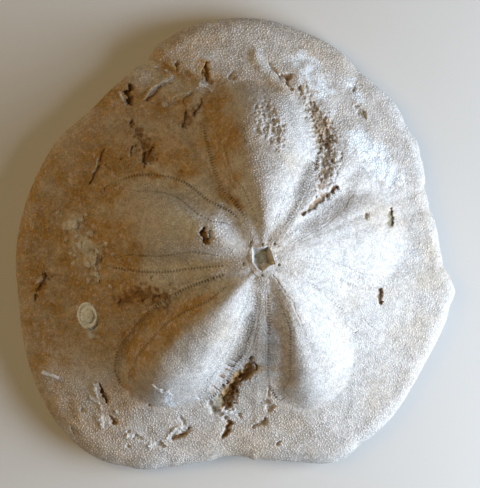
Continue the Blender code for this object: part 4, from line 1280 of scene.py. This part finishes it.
def limestone(name, colours, dirt_and_shade=None, tint="gap", dirt_and_shade_strength=0.0, granules=0.0):
    """The stone of the test under its stains, the ochre partly painted shade. The named mask of the
    piece's own takes the tint, as dirt and painted shade. granules is how strongly small grains stand
    out of the surface itself, with painted shade and dirt on the low ground between them."""
    material = bpy.data.materials.new(name)
    material.use_nodes = True
    tree = material.node_tree
    shader = tree.nodes["Principled BSDF"]
    worn = bpy.data.node_groups.get("worn mask") or worn_mask_group()
    grain_group = bpy.data.node_groups.get("stone grain") or stone_grain_group()
    grain = use_group(tree, grain_group, Scale=1.0)
    patches = soft_step(tree, noise_node(tree, 55.0, 4.0, 0.6), 0.45, 0.75)
    colour = blend_colours(tree, patches, colours.stone, colours.warm)
    blotches = soft_step(tree, noise_node(tree, 150.0, 5.0, 0.65), 0.3, 0.68)
    uneven = math_node(tree, "ADD", 0.52, math_node(tree, "MULTIPLY", blotches, 0.8))
    # The ochre mask: iron stain, and painted shade over the left half and the left flanks.
    stain = math_node(tree, "MINIMUM", math_node(tree, "MULTIPLY", attribute(tree, "ochre"), uneven), 1.0)
    rusty = soft_step(tree, noise_node(tree, 260.0, 4.0, 0.65), 0.35, 0.65)
    colour = blend_colours(tree, stain, colour, blend_colours(tree, rusty, colours.ochre, colours.rust_and_shade))
    speckled = math_node(tree, "MULTIPLY", grain.outputs["Specks"], math_node(tree, "MULTIPLY", stain, 0.55))
    colour = blend_colours(tree, speckled, colour, colours.earth)
    mottling = math_node(tree, "ADD", 0.25, math_node(tree, "MULTIPLY", stain, 0.5))
    for mask, grains in (("Pink", colours.lilac), ("Green", colours.moss)):
        share = math_node(tree, "MULTIPLY", grain.outputs[mask], mottling)
        colour = blend_colours(tree, share, colour, grains)
    for mask, fill, scale, ragged in (
        ("chalk", colours.chalk, 240.0, 1.0),
        ("pale", colours.chalk, 500.0, 0.8),
        ("earth", colours.earth, 450.0, 1.0),
        ("grey", colours.grey, 300.0, 0.5),
    ):
        share = use_group(tree, worn, Mask=attribute(tree, mask), Scale=scale, Raggedness=ragged)
        colour = blend_colours(tree, share.outputs["Mask"], colour, fill)
    if granules:
        # Painted shade and dirt on the low ground between the grains.
        low_ground = math_node(tree, "SUBTRACT", 1.0, grain.outputs["Granules"])
        colour = blend_colours(tree, math_node(tree, "MULTIPLY", low_ground, granules), colour, colours.gap)
    # The hollows and pits darken by their depth: soil, and painted shade in them.
    hollow_soil_and_shade = math_node(tree, "MULTIPLY", attribute(tree, "deep"), 0.5)
    colour = blend_colours(tree, hollow_soil_and_shade, colour, colours.earth)
    # The piece's own mask darkens with the tint: dirt and painted shade.
    if dirt_and_shade:
        own = math_node(tree, "MULTIPLY", attribute(tree, dirt_and_shade), dirt_and_shade_strength)
        colour = blend_colours(tree, own, colour, getattr(colours, tint))
    light = math_node(tree, "ADD", 0.72, math_node(tree, "MULTIPLY", grain.outputs["Tone"], 0.56))
    tone = tree.nodes.new("ShaderNodeHueSaturation")
    tree.links.new(light, tone.inputs["Value"])
    tree.links.new(colour, tone.inputs["Color"])
    tree.links.new(tone.outputs["Color"], shader.inputs["Base Color"])
    rough = math_node(tree, "ADD", 0.82, math_node(tree, "MULTIPLY", grain.outputs["Tone"], 0.12))
    tree.links.new(rough, shader.inputs["Roughness"])
    shader.inputs["Specular IOR Level"].default_value = 0.3
    bump = tree.nodes.new("ShaderNodeBump")
    bump.inputs["Strength"].default_value = 0.8
    bump.inputs["Distance"].default_value = 0.0004
    grainy = math_node(tree, "MULTIPLY", grain.outputs["Granules"], granules)
    tree.links.new(math_node(tree, "ADD", grain.outputs["Height"], grainy), bump.inputs["Height"])
    tree.links.new(bump.outputs["Normal"], shader.inputs["Normal"])
    return material


def studio_floor(colour):
    material = bpy.data.materials.new("studio_floor")
    material.use_nodes = True
    tree = material.node_tree
    shader = tree.nodes["Principled BSDF"]
    cloud = soft_step(tree, noise_node(tree, 6.0, 2.0), 0.2, 0.8)
    paler = tuple(min(1.0, part * 1.04) for part in colour)
    tree.links.new(blend_colours(tree, cloud, tuple(colour), paler), shader.inputs["Base Color"])
    shader.inputs["Roughness"].default_value = 0.9
    return material


# ---- Stage --------------------------------------------------------------------------------------

CAMERA_PLACE = (0.001293, -0.000072, 0.708)
CAMERA_LENS = 179.7
# Azimuth and elevation of each light in degrees, its distance, width and height in metres, and its
# colour.
LIGHTS = {
    "key": (-14.0, 22.0, 0.4, 0.36, 0.2, (0.75, 0.86, 1.0)),
    "fill": (160.0, 50.0, 0.9, 0.6, 0.6, (1.0, 0.70, 0.34)),
}
WORLD_COLOUR = (1.0, 0.92, 0.7)
WORLD_STRENGTH = 0.05
FLOOR_SIZE = 0.9


def make_floor(colour):
    bm = bmesh.new()
    bmesh.ops.create_grid(bm, x_segments=8, y_segments=8, size=FLOOR_SIZE)
    mesh = bpy.data.meshes.new("studio_floor")
    bm.to_mesh(mesh)
    bm.free()
    floor = new_object("studio_floor", mesh, studio_floor(colour))


def make_light(name, power):
    azimuth, elevation, distance, width, height, colour = LIGHTS[name]
    light = bpy.data.lights.new(name, "AREA")
    light.shape = "RECTANGLE"
    light.size, light.size_y = width, height
    light.energy = power
    light.color = colour
    obj = bpy.data.objects.new(name, light)
    bpy.context.scene.collection.objects.link(obj)
    around, up = math.radians(azimuth), math.radians(elevation)
    way = Vector((math.cos(around) * math.cos(up), math.sin(around) * math.cos(up), math.sin(up)))
    obj.location = way * distance
    obj.rotation_euler = way.to_track_quat("Z", "Y").to_euler()


def make_world():
    world = bpy.data.worlds.new("studio")
    world.use_nodes = True
    back = world.node_tree.nodes["Background"]
    back.inputs["Color"].default_value = (*WORLD_COLOUR, 1.0)
    back.inputs["Strength"].default_value = WORLD_STRENGTH
    bpy.context.scene.world = world


def make_camera():
    camera = bpy.data.cameras.new("camera")
    camera.sensor_fit = "VERTICAL"
    camera.sensor_height = 36.0
    camera.lens = CAMERA_LENS
    obj = bpy.data.objects.new("camera", camera)
    obj.location = CAMERA_PLACE
    bpy.context.scene.collection.objects.link(obj)
    bpy.context.scene.camera = obj


# ---- Operators ----------------------------------------------------------------------------------


class URCHIN_OT_stage(bpy.types.Operator):
    """Makes the floor, the lights and the camera"""

    bl_idname = "urchin.stage"
    bl_label = "Studio Stage"

    def execute(self, context):
        scene = context.scene
        make_floor(scene.urchin_colours.floor)
        for name in LIGHTS:
            make_light(name, getattr(scene.urchin_lights, name))
        make_world()
        make_camera()
        scene.view_settings.view_transform = "Standard"
        return {"FINISHED"}


class URCHIN_OT_test(bpy.types.Operator):
    """Makes the surface of the test, which stands for the solid"""

    bl_idname = "urchin.test"
    bl_label = "Test"

    def execute(self, context):
        mesh = make_test()
        paint(mesh)
        # The test darkens where tubercles stand, with the gap colour: dirt and painted shade between them.
        material = limestone("fossil_limestone_looks", context.scene.urchin_colours, "seat", "gap", 0.25, 0.15)
        test = finish_piece(new_object("urchin_test", mesh, material))
        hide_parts(NODE)
        return {"FINISHED"}


class URCHIN_OT_pore_bands(bpy.types.Operator):
    """Makes the bands of pores along the petals"""

    bl_idname = "urchin.pore_bands"
    bl_label = "Pore Bands"

    def execute(self, context):
        scene = context.scene
        # The pore slits and dots are painted nearly black: painted shade.
        material = limestone("fossil_limestone_pores", scene.urchin_colours, "pore", "pore_shade", 0.95, 0.3)
        for name in PETAL_NAMES:
            mesh = make_bands(name, scene.urchin_sizes.pore_depth / MM)
            finish_piece(new_object(mesh.name, mesh, material))
        return {"FINISHED"}


class URCHIN_OT_tubercles(bpy.types.Operator):
    """Stands the tubercles on the plates, one piece for each sector and one below"""

    bl_idname = "urchin.tubercles"
    bl_label = "Tubercles"

    def execute(self, context):
        scene = context.scene
        test = bpy.data.objects["urchin_test"]
        # The feet of the tubercles darken with the gap colour: dirt and painted shade.
        material = limestone("fossil_limestone_tubercles", scene.urchin_colours, "halo", "gap", 0.24)
        bead = make_bead(scene.urchin_sizes.tubercle)
        gap = scene.urchin_sizes.tubercle_gap
        for sector, name in enumerate((*PETAL_NAMES, "below")):
            apart = gap if name in PETAL_NAMES else LOW_BEAD_SPACING * MM
            mesh = spread_beads(f"tubercles_{name}", test, bead, sector, apart)
            if not mesh.polygons:
                raise RuntimeError(f"no tubercles stand in sector {name}")
            finish_piece(new_object(mesh.name, mesh, material))
        bpy.data.objects.remove(bead)
        return {"FINISHED"}


class URCHIN_OT_growths(bpy.types.Operator):
    """Makes the small shell and the piece of a spine that lie on the test"""

    bl_idname = "urchin.growths"
    bl_label = "Growths"

    def execute(self, context):
        colours = context.scene.urchin_colours
        material = limestone("fossil_limestone_growths", colours)
        shell = finish_growth(make_shell(SHELL_SIZE), "encrusting_shell", SHELL_PLACE, 0.0, 1.0)
        middle = tuple(np.mean(SPINE_ENDS, axis=0))
        spine = finish_growth(make_spine(SPINE_ENDS), "spine_fragment", middle, 0.1, 0.35)
        for mesh in (shell, spine):
            finish_piece(new_object(mesh.name, mesh, material))
        return {"FINISHED"}


class URCHIN_PT_panel(bpy.types.Panel):
    """Lists the sizes, the colours and the steps"""

    bl_label = "Fossil Urchin"
    bl_idname = "URCHIN_PT_panel"
    bl_space_type = "VIEW_3D"
    bl_region_type = "UI"
    bl_category = "Fossil Urchin"

    def draw(self, context):
        for group in (
            context.scene.urchin_sizes, context.scene.urchin_colours, context.scene.urchin_lights
        ):
            box = self.layout.box()
            for name in group.bl_rna.properties.keys():
                if name not in ("rna_type", "name"):
                    box.prop(group, name)
        for step in STEPS:
            self.layout.operator(step.bl_idname)


STEPS = (URCHIN_OT_stage, URCHIN_OT_test, URCHIN_OT_pore_bands, URCHIN_OT_tubercles, URCHIN_OT_growths)
GROUPS = {"urchin_sizes": UrchinSizes, "urchin_colours": UrchinColours, "urchin_lights": UrchinLights}


def register():
    for group in (*GROUPS.values(), *STEPS, URCHIN_PT_panel):
        bpy.utils.register_class(group)
    for name, group in GROUPS.items():
        setattr(bpy.types.Scene, name, bpy.props.PointerProperty(type=group))


def unregister():
    for name in GROUPS:
        delattr(bpy.types.Scene, name)
    for group in reversed((*GROUPS.values(), *STEPS, URCHIN_PT_panel)):
        bpy.utils.unregister_class(group)


def main():
    register()
    bpy.ops.urchin.stage()
    bpy.ops.urchin.test()
    bpy.ops.urchin.pore_bands()
    bpy.ops.urchin.tubercles()
    bpy.ops.urchin.growths()


if __name__ == "__main__":
    main()
